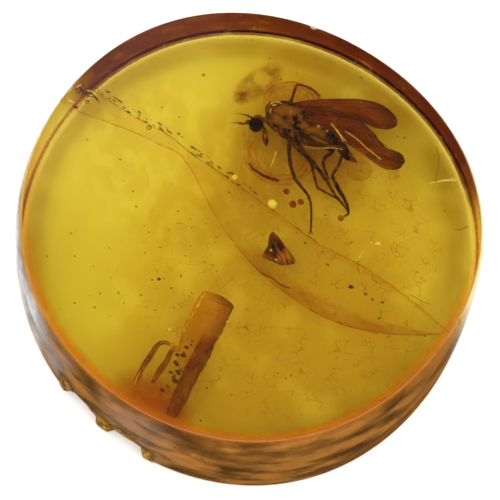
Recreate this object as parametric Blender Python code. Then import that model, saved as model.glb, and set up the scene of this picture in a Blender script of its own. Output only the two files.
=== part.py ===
"""A round slab of polished amber with a fly, a bud scale, a plant stalk and a loose leg sealed in it.

The slab lies on its flat back, with its polished front face up. It is parted in two at mid-depth,
so that each thing inside lies in a pocket that opens where the halves meet.
Metres, +Z up out of the front face. The origin is under the middle of the slab, on what it rests on.
"""

import math

import bmesh
import bpy
from mathutils import Matrix, Vector, noise

MM = 0.001

# The slab
THICKNESS = 4.7 * MM
FACE_RADIUS = 12.1 * MM
FACE_CENTRE_X = -0.135 * MM
FACE_CENTRE_Y = 0.319 * MM
# Cosine and sine parts, in mm, by the number of waves round the outline
FACE_WAVES = {2: (-0.059, -0.032), 3: (0.104, 0.015), 4: (0.065, 0.049)}
BACK_WAVES = {0: (0.142, 0.0), 1: (0.168, -0.264), 2: (-0.202, 0.101), 3: (-0.092, 0.040)}
SHOULDER_OUT = 0.2 * MM
SHOULDER_DEPTH = 0.56 * MM
NEAR_BELLY = 0.18 * MM
BACK_ROUND = 0.16 * MM
SEGMENTS = 120

# The parting of the slab, and the room round what is sealed in it
PARTING_DEPTH = 2.35 * MM
PARTING_GAP = 0.3 * MM
POCKET_CLEARANCE = 0.3 * MM
FRONT_DEPTHS = (0.0, 0.1, 0.3, 0.6, 1.4)
BACK_DEPTHS = (3.0, 3.5, 4.0, 4.4, 4.56, 4.63, 4.7)

# The broken crust low on the near left wall: middle and half width in degrees, depth in mm
CHIPS = ((224.3, 5.4, 0.56), (238.4, 5.3, 0.52))
CHIP_HEIGHT = 1.7 * MM
CRUST_MIDDLE = 231.0
CRUST_HALF_WIDTH = 26.0
CRUST_ROUGHNESS = 0.07 * MM
CRUST_GRAIN = 0.9 * MM

# The fly lies on its side, with its head to the left and its back up the face
BODY_HEIGHT = 2.4
THORAX = ((2.0, 6.97, BODY_HEIGHT), (1.02, 1.0, 0.56))
COXAE = ((2.38, 5.88, BODY_HEIGHT), (0.46, 0.5, 0.42))
HEAD = ((0.56, 6.70, BODY_HEIGHT), (0.40, 0.42, 0.42))
BROW = ((0.02, 6.62, 2.5), (0.22, 0.18, 0.18))
EYE_RADIUS = 0.35
EYE_PLACE = (0.47, 6.52)
EYE_SPREAD = 0.22
CLAW_PAD = ((4.80, 1.02, 2.6), (0.17, 0.17, 0.17))
BODY_SIDES = 12
LEG_SIDES = 6

# Each rod: the points along it and the radius at each, all in mm
NECK = (((0.6, 6.72, 2.4), 0.24), ((1.3, 6.9, 2.4), 0.34))
ABDOMEN = (
    ((2.40, 6.70, 2.40), 0.36),
    ((3.11, 6.36, 2.40), 0.37),
    ((3.81, 6.13, 2.40), 0.35),
    ((4.44, 5.78, 2.40), 0.34),
    ((4.96, 5.31, 2.38), 0.31),
    ((5.37, 4.70, 2.36), 0.24),
    ((5.84, 4.35, 2.35), 0.07),
)
PROBOSCIS = (
    ((0.66, 6.60, 2.40), 0.13),
    ((0.86, 6.25, 2.46), 0.14),
    ((0.93, 5.70, 2.50), 0.15),
    ((0.99, 5.25, 2.50), 0.07),
)
NEAR_ANTENNA = (
    ((0.0, 6.60, 2.50), 0.10),
    ((-0.25, 6.52, 2.60), 0.07),
    ((-0.55, 6.56, 2.63), 0.05),
    ((-0.86, 6.55, 2.65), 0.03),
)
FAR_ANTENNA = (
    ((0.32, 6.90, 2.30), 0.10),
    ((-0.04, 7.16, 2.20), 0.05),
    ((-0.64, 7.23, 2.15), 0.03),
)
LEGS = (
    (
        ((1.96, 6.15, 2.50), 0.16),
        ((2.26, 5.61, 2.62), 0.12),
        ((2.16, 4.79, 2.85), 0.10),
        ((2.22, 3.87, 3.00), 0.09),
        ((2.41, 3.16, 3.05), 0.09),
        ((3.06, 2.22, 3.10), 0.07),
        ((3.19, 1.41, 3.10), 0.06),
        ((3.13, 0.14, 3.10), 0.04),
    ),
    (
        ((2.17, 5.95, 2.50), 0.18),
        ((2.59, 5.16, 2.60), 0.14),
        ((3.23, 4.47, 2.75), 0.12),
        ((3.68, 3.80, 2.85), 0.11),
        ((4.13, 3.09, 2.90), 0.09),
        ((4.52, 2.28, 2.90), 0.08),
        ((5.08, 1.54, 2.85), 0.05),
    ),
    (
        ((2.49, 5.98, 2.60), 0.18),
        ((2.94, 5.38, 2.75), 0.15),
        ((4.06, 5.15, 2.85), 0.15),
        ((5.13, 4.96, 2.88), 0.10),
        ((4.88, 4.21, 2.85), 0.08),
        ((4.42, 3.42, 2.75), 0.08),
        ((4.75, 2.69, 2.65), 0.09),
        ((5.02, 2.18, 2.60), 0.08),
        ((5.25, 1.37, 2.60), 0.06),
        ((4.85, 1.05, 2.60), 0.05),
    ),
    (
        ((2.74, 6.15, 2.20), 0.16),
        ((3.70, 5.56, 2.00), 0.12),
        ((4.63, 5.06, 1.95), 0.09),
        ((4.03, 4.48, 1.88), 0.07),
        ((4.28, 3.58, 1.85), 0.05),
    ),
    (
        ((2.30, 6.08, 2.25), 0.16),
        ((2.77, 5.41, 2.10), 0.11),
        ((3.39, 4.41, 1.92), 0.08),
        ((3.66, 2.98, 1.88), 0.06),
        ((4.71, 2.34, 1.88), 0.05),
    ),
    (
        ((2.25, 7.60, 2.30), 0.12),
        ((2.50, 8.15, 2.20), 0.08),
        ((2.79, 9.02, 2.05), 0.06),
        ((3.46, 8.86, 1.98), 0.06),
        ((3.94, 8.44, 1.95), 0.05),
    ),
)
# Outlines across the face, in mm
FAR_WING = (
    (2.30, 7.35), (2.74, 7.92), (3.85, 7.96), (4.83, 8.04), (5.93, 8.09), (6.63, 8.01), (7.31, 7.67),
    (7.90, 7.22), (8.12, 6.86), (8.00, 6.61), (7.54, 6.50), (7.05, 6.54), (6.50, 6.72), (5.96, 7.00),
    (5.18, 7.10), (3.98, 7.05), (2.60, 6.95),
)
NEAR_WING = (
    (2.45, 6.85), (2.93, 7.09), (3.93, 7.13), (5.12, 7.04), (6.07, 6.45), (6.61, 6.01), (6.99, 5.48),
    (7.33, 5.14), (7.73, 5.05), (8.15, 4.73), (8.28, 4.36), (8.20, 3.99), (7.89, 3.85), (7.34, 3.79),
    (6.87, 3.96), (6.53, 4.28), (5.98, 4.73), (5.47, 5.33), (5.06, 5.86), (4.49, 6.25), (3.63, 6.50),
    (2.75, 6.55),
)
WING_THICKNESS = 0.12
# Height at the root, rise for each mm to the right, and the root's place
FAR_WING_PLANE = (2.15, -0.03, 2.3)
NEAR_WING_PLANE = (2.62, 0.045, 2.45)

# The bud scale: a three-sided flake, blunt at its top
SCALE_OUTLINE = (
    (1.11, 0.26), (1.40, 0.06), (1.72, -0.37), (2.00, -0.84), (2.28, -1.32), (2.20, -1.56), (1.65, -1.63),
    (1.10, -1.43), (0.55, -1.14), (0.66, -0.84), (0.86, -0.50), (0.93, 0.0),
)
SCALE_HEIGHT = 2.35
SCALE_THICKNESS = 0.36

# The stalk: a flattened stem, broken open below, with two splinters on its left
STALK_FLATNESS = 0.6
STALK_SIDES = 14
STALK_STEM = (
    ((-1.90, -3.30, 2.55), 0.72),
    ((-1.98, -3.47, 2.55), 0.86),
    ((-2.55, -4.86, 2.50), 0.86),
    ((-3.08, -5.95, 2.45), 0.66),
    ((-3.40, -6.60, 2.42), 0.36),
)
STALK_STRIP = (
    ((-2.44, -5.32, 2.42), 0.42),
    ((-2.78, -6.18, 2.42), 0.44),
    ((-3.27, -7.08, 2.40), 0.40),
    ((-3.76, -7.85, 2.38), 0.36),
    ((-4.31, -8.70, 2.35), 0.34),
    ((-4.74, -9.34, 2.32), 0.20),
)
STALK_SPLINTERS = (
    (
        ((-3.30, -5.80, 2.50), 0.20),
        ((-4.28, -6.13, 2.50), 0.12),
        ((-4.75, -5.98, 2.50), 0.12),
        ((-5.14, -6.19, 2.50), 0.13),
        ((-5.57, -6.85, 2.50), 0.14),
        ((-5.92, -7.40, 2.48), 0.14),
        ((-6.27, -8.06, 2.46), 0.10),
    ),
    (
        ((-3.50, -6.30, 2.36), 0.20),
        ((-4.28, -6.34, 2.32), 0.14),
        ((-4.65, -6.97, 2.30), 0.15),
        ((-5.00, -7.47, 2.30), 0.16),
        ((-5.38, -8.13, 2.30), 0.10),
    ),
)

# The leg that came off lies left of the others
LOOSE_LEG = (
    ((0.02, 4.27, 2.40), 0.05),
    ((0.22, 3.91, 2.42), 0.06),
    ((0.76, 3.52, 2.45), 0.08),
    ((1.57, 3.21, 2.50), 0.06),
)
LOOSE_LEG_SIDES = 8


def clear_scene():
    """Removes what the scene starts with."""
    for thing in list(bpy.data.objects):
        bpy.data.objects.remove(thing, do_unlink=True)


def material(name, colour, roughness):
    """A plain Principled material."""
    made = bpy.data.materials.new(name)
    made.use_nodes = True
    made.diffuse_color = (*colour, 1.0)
    surface = made.node_tree.nodes["Principled BSDF"]
    surface.inputs["Base Color"].default_value = (*colour, 1.0)
    surface.inputs["Roughness"].default_value = roughness
    surface.inputs["Metallic"].default_value = 0.0
    return made


def object_from(bm, name, finish, helper=False):
    """The closed shape as an object with its finish, or as a helper that is only cut or joined with."""
    bmesh.ops.recalc_face_normals(bm, faces=bm.faces)
    mesh = bpy.data.meshes.new(name)
    bm.to_mesh(mesh)
    bm.free()
    mesh.materials.append(finish)
    made = bpy.data.objects.new(name, mesh)
    bpy.context.scene.collection.objects.link(made)
    mesh.shade_smooth()
    mesh.set_sharp_from_angle(angle=math.radians(35))
    if helper:
        made.hide_render = True
        made.display_type = "WIRE"
    return made


def union(whole, piece):
    """Joins the piece to the whole."""
    joint = whole.modifiers.new(piece.name, "BOOLEAN")
    joint.operation = "UNION"
    joint.solver = "EXACT"
    joint.object = piece


def waves(parts, angle):
    """The outline's departure from a circle at that angle, in metres."""
    return MM * sum(
        along * math.cos(count * angle) + across * math.sin(count * angle)
        for count, (along, across) in parts.items()
    )


def broken_away(angle, height):
    """How far the broken crust lies inside the sound wall."""
    degrees = math.degrees(angle) % 360
    fade = max(0.0, 1 - (height / CHIP_HEIGHT) ** 2)
    lost = 0.0
    for middle, half_width, depth in CHIPS:
        across = abs(degrees - middle) / half_width
        lost += depth * MM * fade * min(1.0, 3 * max(0.0, 1 - across))
    nearness = max(0.0, 1 - abs(degrees - CRUST_MIDDLE) / CRUST_HALF_WIDTH)
    place = Vector((math.cos(angle), math.sin(angle), height / FACE_RADIUS)) * (FACE_RADIUS / CRUST_GRAIN)
    return lost + CRUST_ROUGHNESS * nearness * fade * (1 + noise.noise(place))


def wall_point(angle, depth):
    """A point on the slab's side wall, at that depth below the front face."""
    share = depth / THICKNESS
    height = THICKNESS - depth
    radius = FACE_RADIUS + waves(FACE_WAVES, angle)
    radius += SHOULDER_OUT * (1 - (1 - min(depth / SHOULDER_DEPTH, 1)) ** 2)
    radius += waves(BACK_WAVES, angle) * share
    radius += NEAR_BELLY * math.sin(math.pi * share) * (1 - math.sin(angle)) / 2
    radius -= BACK_ROUND * max(0.0, 1 - height / BACK_ROUND) ** 2
    radius -= broken_away(angle, height)
    return Vector((FACE_CENTRE_X + radius * math.cos(angle), FACE_CENTRE_Y + radius * math.sin(angle), height))


def amber_half(name, depths, finish):
    """The part of the slab between the first depth and the last."""
    bm = bmesh.new()
    angles = [2 * math.pi * step / SEGMENTS for step in range(SEGMENTS)]
    rings = [[bm.verts.new(wall_point(angle, depth)) for angle in angles] for depth in depths]
    loops = [[bm.edges.new((a, b)) for a, b in zip(ring, ring[1:] + ring[:1])] for ring in rings]
    for upper, lower in zip(loops, loops[1:]):
        bmesh.ops.bridge_loops(bm, edges=upper + lower)
    bm.faces.new(rings[0])
    bm.faces.new(rings[-1])
    return object_from(bm, name, finish)


def cut_pocket(halves, contents, finish):
    """Cuts the room for a sealed thing out of both halves: its convex hull, grown by the clearance."""
    graph = bpy.context.evaluated_depsgraph_get()
    evaluated = contents.evaluated_get(graph)
    corners = [vertex.co.copy() for vertex in evaluated.to_mesh().vertices]
    evaluated.to_mesh_clear()
    hull = bmesh.new()
    for corner in corners:
        hull.verts.new(corner)
    outer = bmesh.ops.convex_hull(hull, input=hull.verts)["geom"]
    kept = [thing.co.copy() for thing in outer if isinstance(thing, bmesh.types.BMVert)]
    hull.free()
    # A 12-cornered ball holds a sphere of 0.79 of its radius
    ball_radius = POCKET_CLEARANCE / 0.79
    grown = bmesh.new()
    for corner in kept:
        bmesh.ops.create_icosphere(
            grown, subdivisions=1, radius=ball_radius, matrix=Matrix.Translation(corner)
        )
    bmesh.ops.delete(grown, geom=grown.faces, context="FACES_ONLY")
    bmesh.ops.delete(grown, geom=grown.edges, context="EDGES_FACES")
    found = bmesh.ops.convex_hull(grown, input=grown.verts)
    inner = {thing for key in ("geom_interior", "geom_unused") for thing in found[key]}
    bmesh.ops.delete(grown, geom=[v for v in grown.verts if v in inner], context="VERTS")
    cutter = object_from(grown, contents.name + "_pocket", finish, helper=True)
    for half in halves:
        cut = half.modifiers.new(cutter.name, "BOOLEAN")
        cut.operation = "DIFFERENCE"
        cut.solver = "EXACT"
        cut.object = cutter


def ball(name, place_and_radii, finish):
    """An egg-shaped piece, turned about nothing."""
    (place, radii) = place_and_radii
    bm = bmesh.new()
    shape = Matrix.Translation(Vector(place) * MM) @ Matrix.Diagonal((*(Vector(radii) * MM), 1.0))
    bmesh.ops.create_uvsphere(bm, u_segments=BODY_SIDES, v_segments=BODY_SIDES // 2 + 2, radius=1, matrix=shape)
    return object_from(bm, name, finish, helper=True)


def rod(name, stations, sides, finish, flatness=1.0, helper=True):
    """A closed rod through the stations, each a point and a radius in mm. Flatness squeezes its height."""
    bm = bmesh.new()
    points = [Vector(point) * MM for point, radius in stations]
    loops = []
    rings = []
    for index, (point, (_, radius)) in enumerate(zip(points, stations)):
        before = points[max(index - 1, 0)]
        after = points[min(index + 1, len(points) - 1)]
        ahead = (point - before).normalized() + (after - point).normalized()
        ahead.normalize()
        aside = ahead.cross(Vector((0, 0, 1))).normalized()
        above = aside.cross(ahead).normalized()
        turn = Matrix((aside, above * flatness, ahead)).transposed().to_4x4()
        made = bmesh.ops.create_circle(
            bm, cap_ends=False, segments=sides, radius=radius * MM, matrix=Matrix.Translation(point) @ turn
        )
        rings.append(made["verts"])
        loops.append(list({edge for vertex in made["verts"] for edge in vertex.link_edges}))
    for first, second in zip(loops, loops[1:]):
        bmesh.ops.bridge_loops(bm, edges=first + second)
    bm.faces.new(rings[0])
    bm.faces.new(rings[-1])
    return object_from(bm, name, finish, helper)


def rounded_outline(corners, steps=2):
    """More points on a smooth closed curve through the corners."""
    count = len(corners)
    found = []
    for index in range(count):
        before, start, end, after = (Vector(corners[(index + shift) % count]) for shift in (-1, 0, 1, 2))
        for step in range(steps):
            t = step / steps
            found.append(
                0.5
                * (
                    2 * start
                    + (end - before) * t
                    + (2 * before - 5 * start + 4 * end - after) * t * t
                    + (3 * start - before - 3 * end + after) * t**3
                )
            )
    return found


def flake(name, outline, thickness, height_at, finish, helper=True):
    """A flat closed piece with that outline. height_at gives its middle's height, in mm, at each place."""
    bm = bmesh.new()
    under = [bm.verts.new(Vector((x, y, height_at(x) - thickness / 2)) * MM) for x, y in outline]
    face = bm.faces.new(under)
    grown = bmesh.ops.extrude_face_region(bm, geom=[face])["geom"]
    raised = [thing for thing in grown if isinstance(thing, bmesh.types.BMVert)]
    bmesh.ops.translate(bm, verts=raised, vec=Vector((0, 0, thickness * MM)))
    return object_from(bm, name, finish, helper)


def wing(name, outline, plane, finish):
    """One wing, flat and slightly tilted."""
    root_height, rise, root_place = plane
    return flake(
        name,
        rounded_outline(outline),
        WING_THICKNESS,
        lambda x: root_height + rise * (x - root_place),
        finish,
    )


def fly(finish):
    """The whole fly as one solid: body, head, mouthpart, feelers, wings and legs."""
    body = rod("fly", ABDOMEN, BODY_SIDES, finish, helper=False)
    pieces = [
        ball("thorax", THORAX, finish),
        ball("coxae", COXAE, finish),
        rod("neck", NECK, BODY_SIDES, finish),
        ball("head", HEAD, finish),
        ball("brow", BROW, finish),
    ]
    for side, height in (("near", BODY_HEIGHT + EYE_SPREAD), ("far", BODY_HEIGHT - EYE_SPREAD)):
        pieces.append(ball(side + "_eye", ((*EYE_PLACE, height), (EYE_RADIUS,) * 3), finish))
    pieces.append(rod("proboscis", PROBOSCIS, LEG_SIDES, finish))
    pieces.append(rod("near_antenna", NEAR_ANTENNA, LEG_SIDES, finish))
    pieces.append(rod("far_antenna", FAR_ANTENNA, LEG_SIDES, finish))
    pieces.append(wing("far_wing", FAR_WING, FAR_WING_PLANE, finish))
    pieces.append(wing("near_wing", NEAR_WING, NEAR_WING_PLANE, finish))
    for number, stations in enumerate(LEGS, start=1):
        pieces.append(rod(f"leg_{number}", stations, LEG_SIDES, finish))
    pieces.append(ball("claw_pad", CLAW_PAD, finish))
    for piece in pieces:
        union(body, piece)
    return body


def bud_scale(finish):
    """The three-sided brown flake under the fly."""
    outline = rounded_outline(SCALE_OUTLINE)
    return flake("bud_scale", outline, SCALE_THICKNESS, lambda x: SCALE_HEIGHT, finish, helper=False)


def plant_stalk(finish):
    """The broken stem near the lower left rim, with its strip and splinters."""
    stem = rod("plant_stalk", STALK_STEM, STALK_SIDES, finish, STALK_FLATNESS, helper=False)
    union(stem, rod("strip", STALK_STRIP, BODY_SIDES, finish, STALK_FLATNESS))
    for number, stations in enumerate(STALK_SPLINTERS, start=1):
        union(stem, rod(f"splinter_{number}", stations, LEG_SIDES, finish))
    return stem


def loose_leg(finish):
    """The leg that lies by itself."""
    return rod("loose_leg", LOOSE_LEG, LOOSE_LEG_SIDES, finish, helper=False)


def build():
    """Makes the two halves of the slab and what is sealed between them."""
    clear_scene()
    amber = material("amber", (0.55, 0.33, 0.03), 0.05)
    chitin = material("fly_body", (0.06, 0.02, 0.006), 0.4)
    plant = material("plant_matter", (0.20, 0.07, 0.015), 0.7)
    parting = PARTING_DEPTH / MM
    half_gap = PARTING_GAP / MM / 2
    front_depths = (*FRONT_DEPTHS, parting - half_gap)
    back_depths = (parting + half_gap, *BACK_DEPTHS)
    halves = (
        amber_half("amber_front", [depth * MM for depth in front_depths], amber),
        amber_half("amber_back", [depth * MM for depth in back_depths], amber),
    )
    sealed = (fly(chitin), bud_scale(plant), plant_stalk(plant), loose_leg(chitin))
    bpy.context.view_layer.update()
    for contents in sealed:
        cut_pocket(halves, contents, amber)


build()
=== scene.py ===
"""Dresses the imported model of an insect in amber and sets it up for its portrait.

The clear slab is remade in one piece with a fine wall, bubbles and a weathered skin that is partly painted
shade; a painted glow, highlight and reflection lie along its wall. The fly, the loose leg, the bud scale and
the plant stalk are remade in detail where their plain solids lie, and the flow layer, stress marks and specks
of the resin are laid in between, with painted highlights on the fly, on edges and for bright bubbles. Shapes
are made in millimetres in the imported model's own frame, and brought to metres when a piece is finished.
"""

import logging
import math
from dataclasses import dataclass, field
from enum import Enum
from typing import Callable, Sequence

import bmesh
import bpy
from mathutils import Matrix, Vector, noise


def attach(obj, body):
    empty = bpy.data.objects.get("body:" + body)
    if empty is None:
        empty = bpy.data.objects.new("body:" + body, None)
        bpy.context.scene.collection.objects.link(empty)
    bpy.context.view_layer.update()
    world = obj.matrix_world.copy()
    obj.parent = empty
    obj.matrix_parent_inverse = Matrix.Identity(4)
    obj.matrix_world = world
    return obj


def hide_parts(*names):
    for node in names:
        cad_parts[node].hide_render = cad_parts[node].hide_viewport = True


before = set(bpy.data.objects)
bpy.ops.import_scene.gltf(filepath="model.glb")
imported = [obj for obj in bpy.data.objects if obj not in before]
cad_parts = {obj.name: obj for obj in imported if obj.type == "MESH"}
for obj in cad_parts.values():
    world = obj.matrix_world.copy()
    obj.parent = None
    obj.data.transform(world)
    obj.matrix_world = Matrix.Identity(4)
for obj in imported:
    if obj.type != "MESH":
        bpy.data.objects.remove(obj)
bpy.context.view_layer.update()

LOG = logging.getLogger("insect in amber")
MM = 0.001
TAU = 2 * math.pi
# How strongly soaked skin and tissue bend light against the resin round them
SOAKED_INDEX = 1.08

Place = Sequence[float]
Station = tuple[Place, float]
Colour = tuple[float, float, float]
Socket = bpy.types.NodeSocket
Relief = Callable[[float, float], float]


class Slot(Enum):
    """The record's material slots."""

    AMBER = "amber"
    FLY = "fly_body"
    PLANT = "plant_matter"


# Curves and patterns


def spline(points: Sequence[Place], steps: int, closed: bool = False) -> list[Vector]:
    """A smooth curve through the points.

    Args:
        points: What the curve passes through; each may have any number of values.
        steps: How many points to make for each span.
        closed: Whether the last point joins the first.

    Returns:
        The curve's points, with the last one included when it is open.
    """
    given = [Vector(point) for point in points]
    count = len(given)
    spans = count if closed else count - 1

    def near(index: int) -> Vector:
        """The point at an index, past either end too."""
        return given[index % count] if closed else given[min(max(index, 0), count - 1)]

    found = []
    for index in range(spans):
        before, start, end, after = (near(index + shift) for shift in (-1, 0, 1, 2))
        for step in range(steps):
            t = step / steps
            bend = 2 * before - 5 * start + 4 * end - after
            found.append(
                0.5 * (2 * start + (end - before) * t + bend * t * t + (3 * start - before - 3 * end + after) * t**3)
            )
    if not closed:
        found.append(given[-1])
    return found


def evenly(points: Sequence[Vector], count: int) -> list[Vector]:
    """The same curve with that many points, evenly far apart.

    Args:
        points: The curve.
        count: How many points are wanted.

    Returns:
        The new points, with both ends kept.
    """
    reach = [0.0]
    for first, second in zip(points, points[1:]):
        reach.append(reach[-1] + (second - first).length)
    found, span = [], 0
    for index in range(count):
        wanted = reach[-1] * index / (count - 1)
        while span < len(points) - 2 and reach[span + 1] < wanted:
            span += 1
        share = (wanted - reach[span]) / max(reach[span + 1] - reach[span], 1e-9)
        found.append(points[span].lerp(points[span + 1], min(max(share, 0.0), 1.0)))
    return found


def grain(place: Place, size: float, depth: int = 3) -> float:
    """Soft noise from about -1 to 1 whose features are about that many millimetres wide."""
    return noise.fractal(Vector(place) / size, 1.0, 2.0, depth)


def ease(value: float, start: float, end: float) -> float:
    """0 before start, 1 after end, and a smooth rise between them."""
    share = min(max((value - start) / (end - start), 0.0), 1.0)
    return share * share * (3 - 2 * share)


# Node trees


class Graph:
    """A short way to write a node tree."""

    def __init__(self, tree: bpy.types.NodeTree) -> None:
        """Takes the tree to write in."""
        self.tree = tree

    def node(self, kind: str, inputs: dict | None = None, out: int | str = 0, **settings: object) -> Socket:
        """Adds a node.

        Args:
            kind: The node's type.
            inputs: Values or sockets for its inputs, by name or number.
            out: Which of its outputs to return.
            **settings: Its own properties.

        Returns:
            The output asked for.
        """
        made = self.tree.nodes.new(kind)
        for name, value in settings.items():
            setattr(made, name, value)
        for name, value in (inputs or {}).items():
            if isinstance(value, bpy.types.NodeSocket):
                self.tree.links.new(value, made.inputs[name])
            else:
                made.inputs[name].default_value = value
        return made.outputs[out]

    def maths(self, operation: str, first: Socket | float, second: Socket | float = 0.0) -> Socket:
        """A sum on one or two numbers."""
        return self.node("ShaderNodeMath", {0: first, 1: second}, operation=operation)


class Shader(Graph):
    """A surface's node tree."""

    def millimetres(self, stretch: Place = (1, 1, 1), turn: Place = (0, 0, 0)) -> Socket:
        """The place on the piece in millimetres, stretched and turned for a pattern."""
        place = self.node("ShaderNodeTexCoord", out="Object")
        scale = tuple(share / MM for share in stretch)
        turned = self.node("ShaderNodeMapping", {"Vector": place, "Rotation": turn}, vector_type="TEXTURE")
        return self.node("ShaderNodeMapping", {"Vector": turned, "Scale": scale})

    def clouds(self, size: float, place: Socket, detail: float = 4.0, rough: float = 0.55) -> Socket:
        """Soft noise with features of about that many millimetres."""
        inputs = {"Vector": place, "Scale": 1 / size, "Detail": detail, "Roughness": rough}
        return self.node("ShaderNodeTexNoise", inputs)

    def between(self, value: Socket, low: float, high: float, start: float = 0.0, end: float = 1.0) -> Socket:
        """The value's run from low to high brought to start and end, and held there."""
        inputs = {"Value": value, "From Min": low, "From Max": high, "To Min": start, "To Max": end}
        return self.node("ShaderNodeMapRange", inputs)

    def tinted(self, share: Socket | float, first: Colour | Socket, second: Colour | Socket) -> Socket:
        """A colour between two others."""
        ends = [(*end, 1.0) if isinstance(end, tuple) else end for end in (first, second)]
        return self.node("ShaderNodeMix", {0: share, 6: ends[0], 7: ends[1]}, out=2, data_type="RGBA")

    def attribute(self, name: str) -> Socket:
        """A number kept on the piece's mesh."""
        return self.node("ShaderNodeAttribute", out="Fac", attribute_name=name)

    def bumps(self, height: Socket, depth: float, strength: float = 1.0) -> Socket:
        """A bump whose full height is that many millimetres."""
        return self.node("ShaderNodeBump", {"Height": height, "Distance": depth * MM, "Strength": strength})

    def mixed(self, share: Socket | float, first: Socket, second: Socket) -> Socket:
        """A shader between two others."""
        return self.node("ShaderNodeMixShader", {0: share, 1: first, 2: second})


class Growth(Graph):
    """A geometry node tree that is run once on a mesh and leaves a plain mesh."""

    def __init__(self, name: str, inputs: dict[str, str]) -> None:
        """Starts the tree.

        Args:
            name: The tree's name.
            inputs: Each input's name and socket type, besides the geometry and the material.
        """
        tree = bpy.data.node_groups.new(name, "GeometryNodeTree")
        super().__init__(tree)
        face = tree.interface
        face.new_socket("Geometry", in_out="INPUT", socket_type="NodeSocketGeometry")
        face.new_socket("Material", in_out="INPUT", socket_type="NodeSocketMaterial")
        for label, kind in inputs.items():
            face.new_socket(label, in_out="INPUT", socket_type=kind)
        face.new_socket("Geometry", in_out="OUTPUT", socket_type="NodeSocketGeometry")
        self.given = tree.nodes.new("NodeGroupInput").outputs

    def close(self, grown: Socket) -> None:
        """Ends the tree: makes instances real, and gives them the material."""
        whole = self.node("GeometryNodeRealizeInstances", {0: grown})
        dressed = self.node("GeometryNodeSetMaterial", {0: whole, "Material": self.given["Material"]})
        end = self.tree.nodes.new("NodeGroupOutput")
        self.tree.links.new(dressed, end.inputs[0])

    def grow(self, name: str, bed: bpy.types.Mesh, finish: bpy.types.Material, values: dict) -> bpy.types.Object:
        """Runs the tree.

        Args:
            name: The new piece's name.
            bed: The mesh that it grows on, in millimetres.
            finish: The piece's material.
            values: The inputs, by name.

        Returns:
            The finished piece.
        """
        holder = bpy.data.objects.new(name + "_bed", bed)
        bpy.context.scene.collection.objects.link(holder)
        growing = holder.modifiers.new(name, "NODES")
        growing.node_group = self.tree
        for item in self.tree.interface.items_tree:
            if item.in_out == "INPUT" and item.name in {"Material": 0, **values}:
                growing[item.identifier] = finish if item.name == "Material" else values[item.name]
        grown = plain_mesh(holder)
        holder.modifiers.remove(growing)
        bpy.data.objects.remove(holder, do_unlink=True)
        return placed(name, grown)


def plain_mesh(holder: bpy.types.Object) -> bpy.types.Mesh:
    """The object's mesh with its modifiers done."""
    bpy.context.view_layer.update()
    graph = bpy.context.evaluated_depsgraph_get()
    return bpy.data.meshes.new_from_object(holder.evaluated_get(graph), depsgraph=graph)


def placed(name: str, mesh: bpy.types.Mesh) -> bpy.types.Object:
    """A finished mesh, brought from millimetres to metres, as an object at the origin."""
    mesh.transform(Matrix.Scale(MM, 4))
    mesh.name = name
    made = bpy.data.objects.new(name, mesh)
    bpy.context.scene.collection.objects.link(made)
    return made


def keep(piece: bpy.types.Object, slot: Slot, *nodes: str) -> None:
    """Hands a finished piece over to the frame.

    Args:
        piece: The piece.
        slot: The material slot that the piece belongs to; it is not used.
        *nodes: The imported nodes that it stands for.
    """
    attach(piece, "root")
    if nodes:
        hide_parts(*nodes)
    LOG.info("%s: %d faces", piece.name, len(piece.data.polygons))


# Meshes


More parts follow.
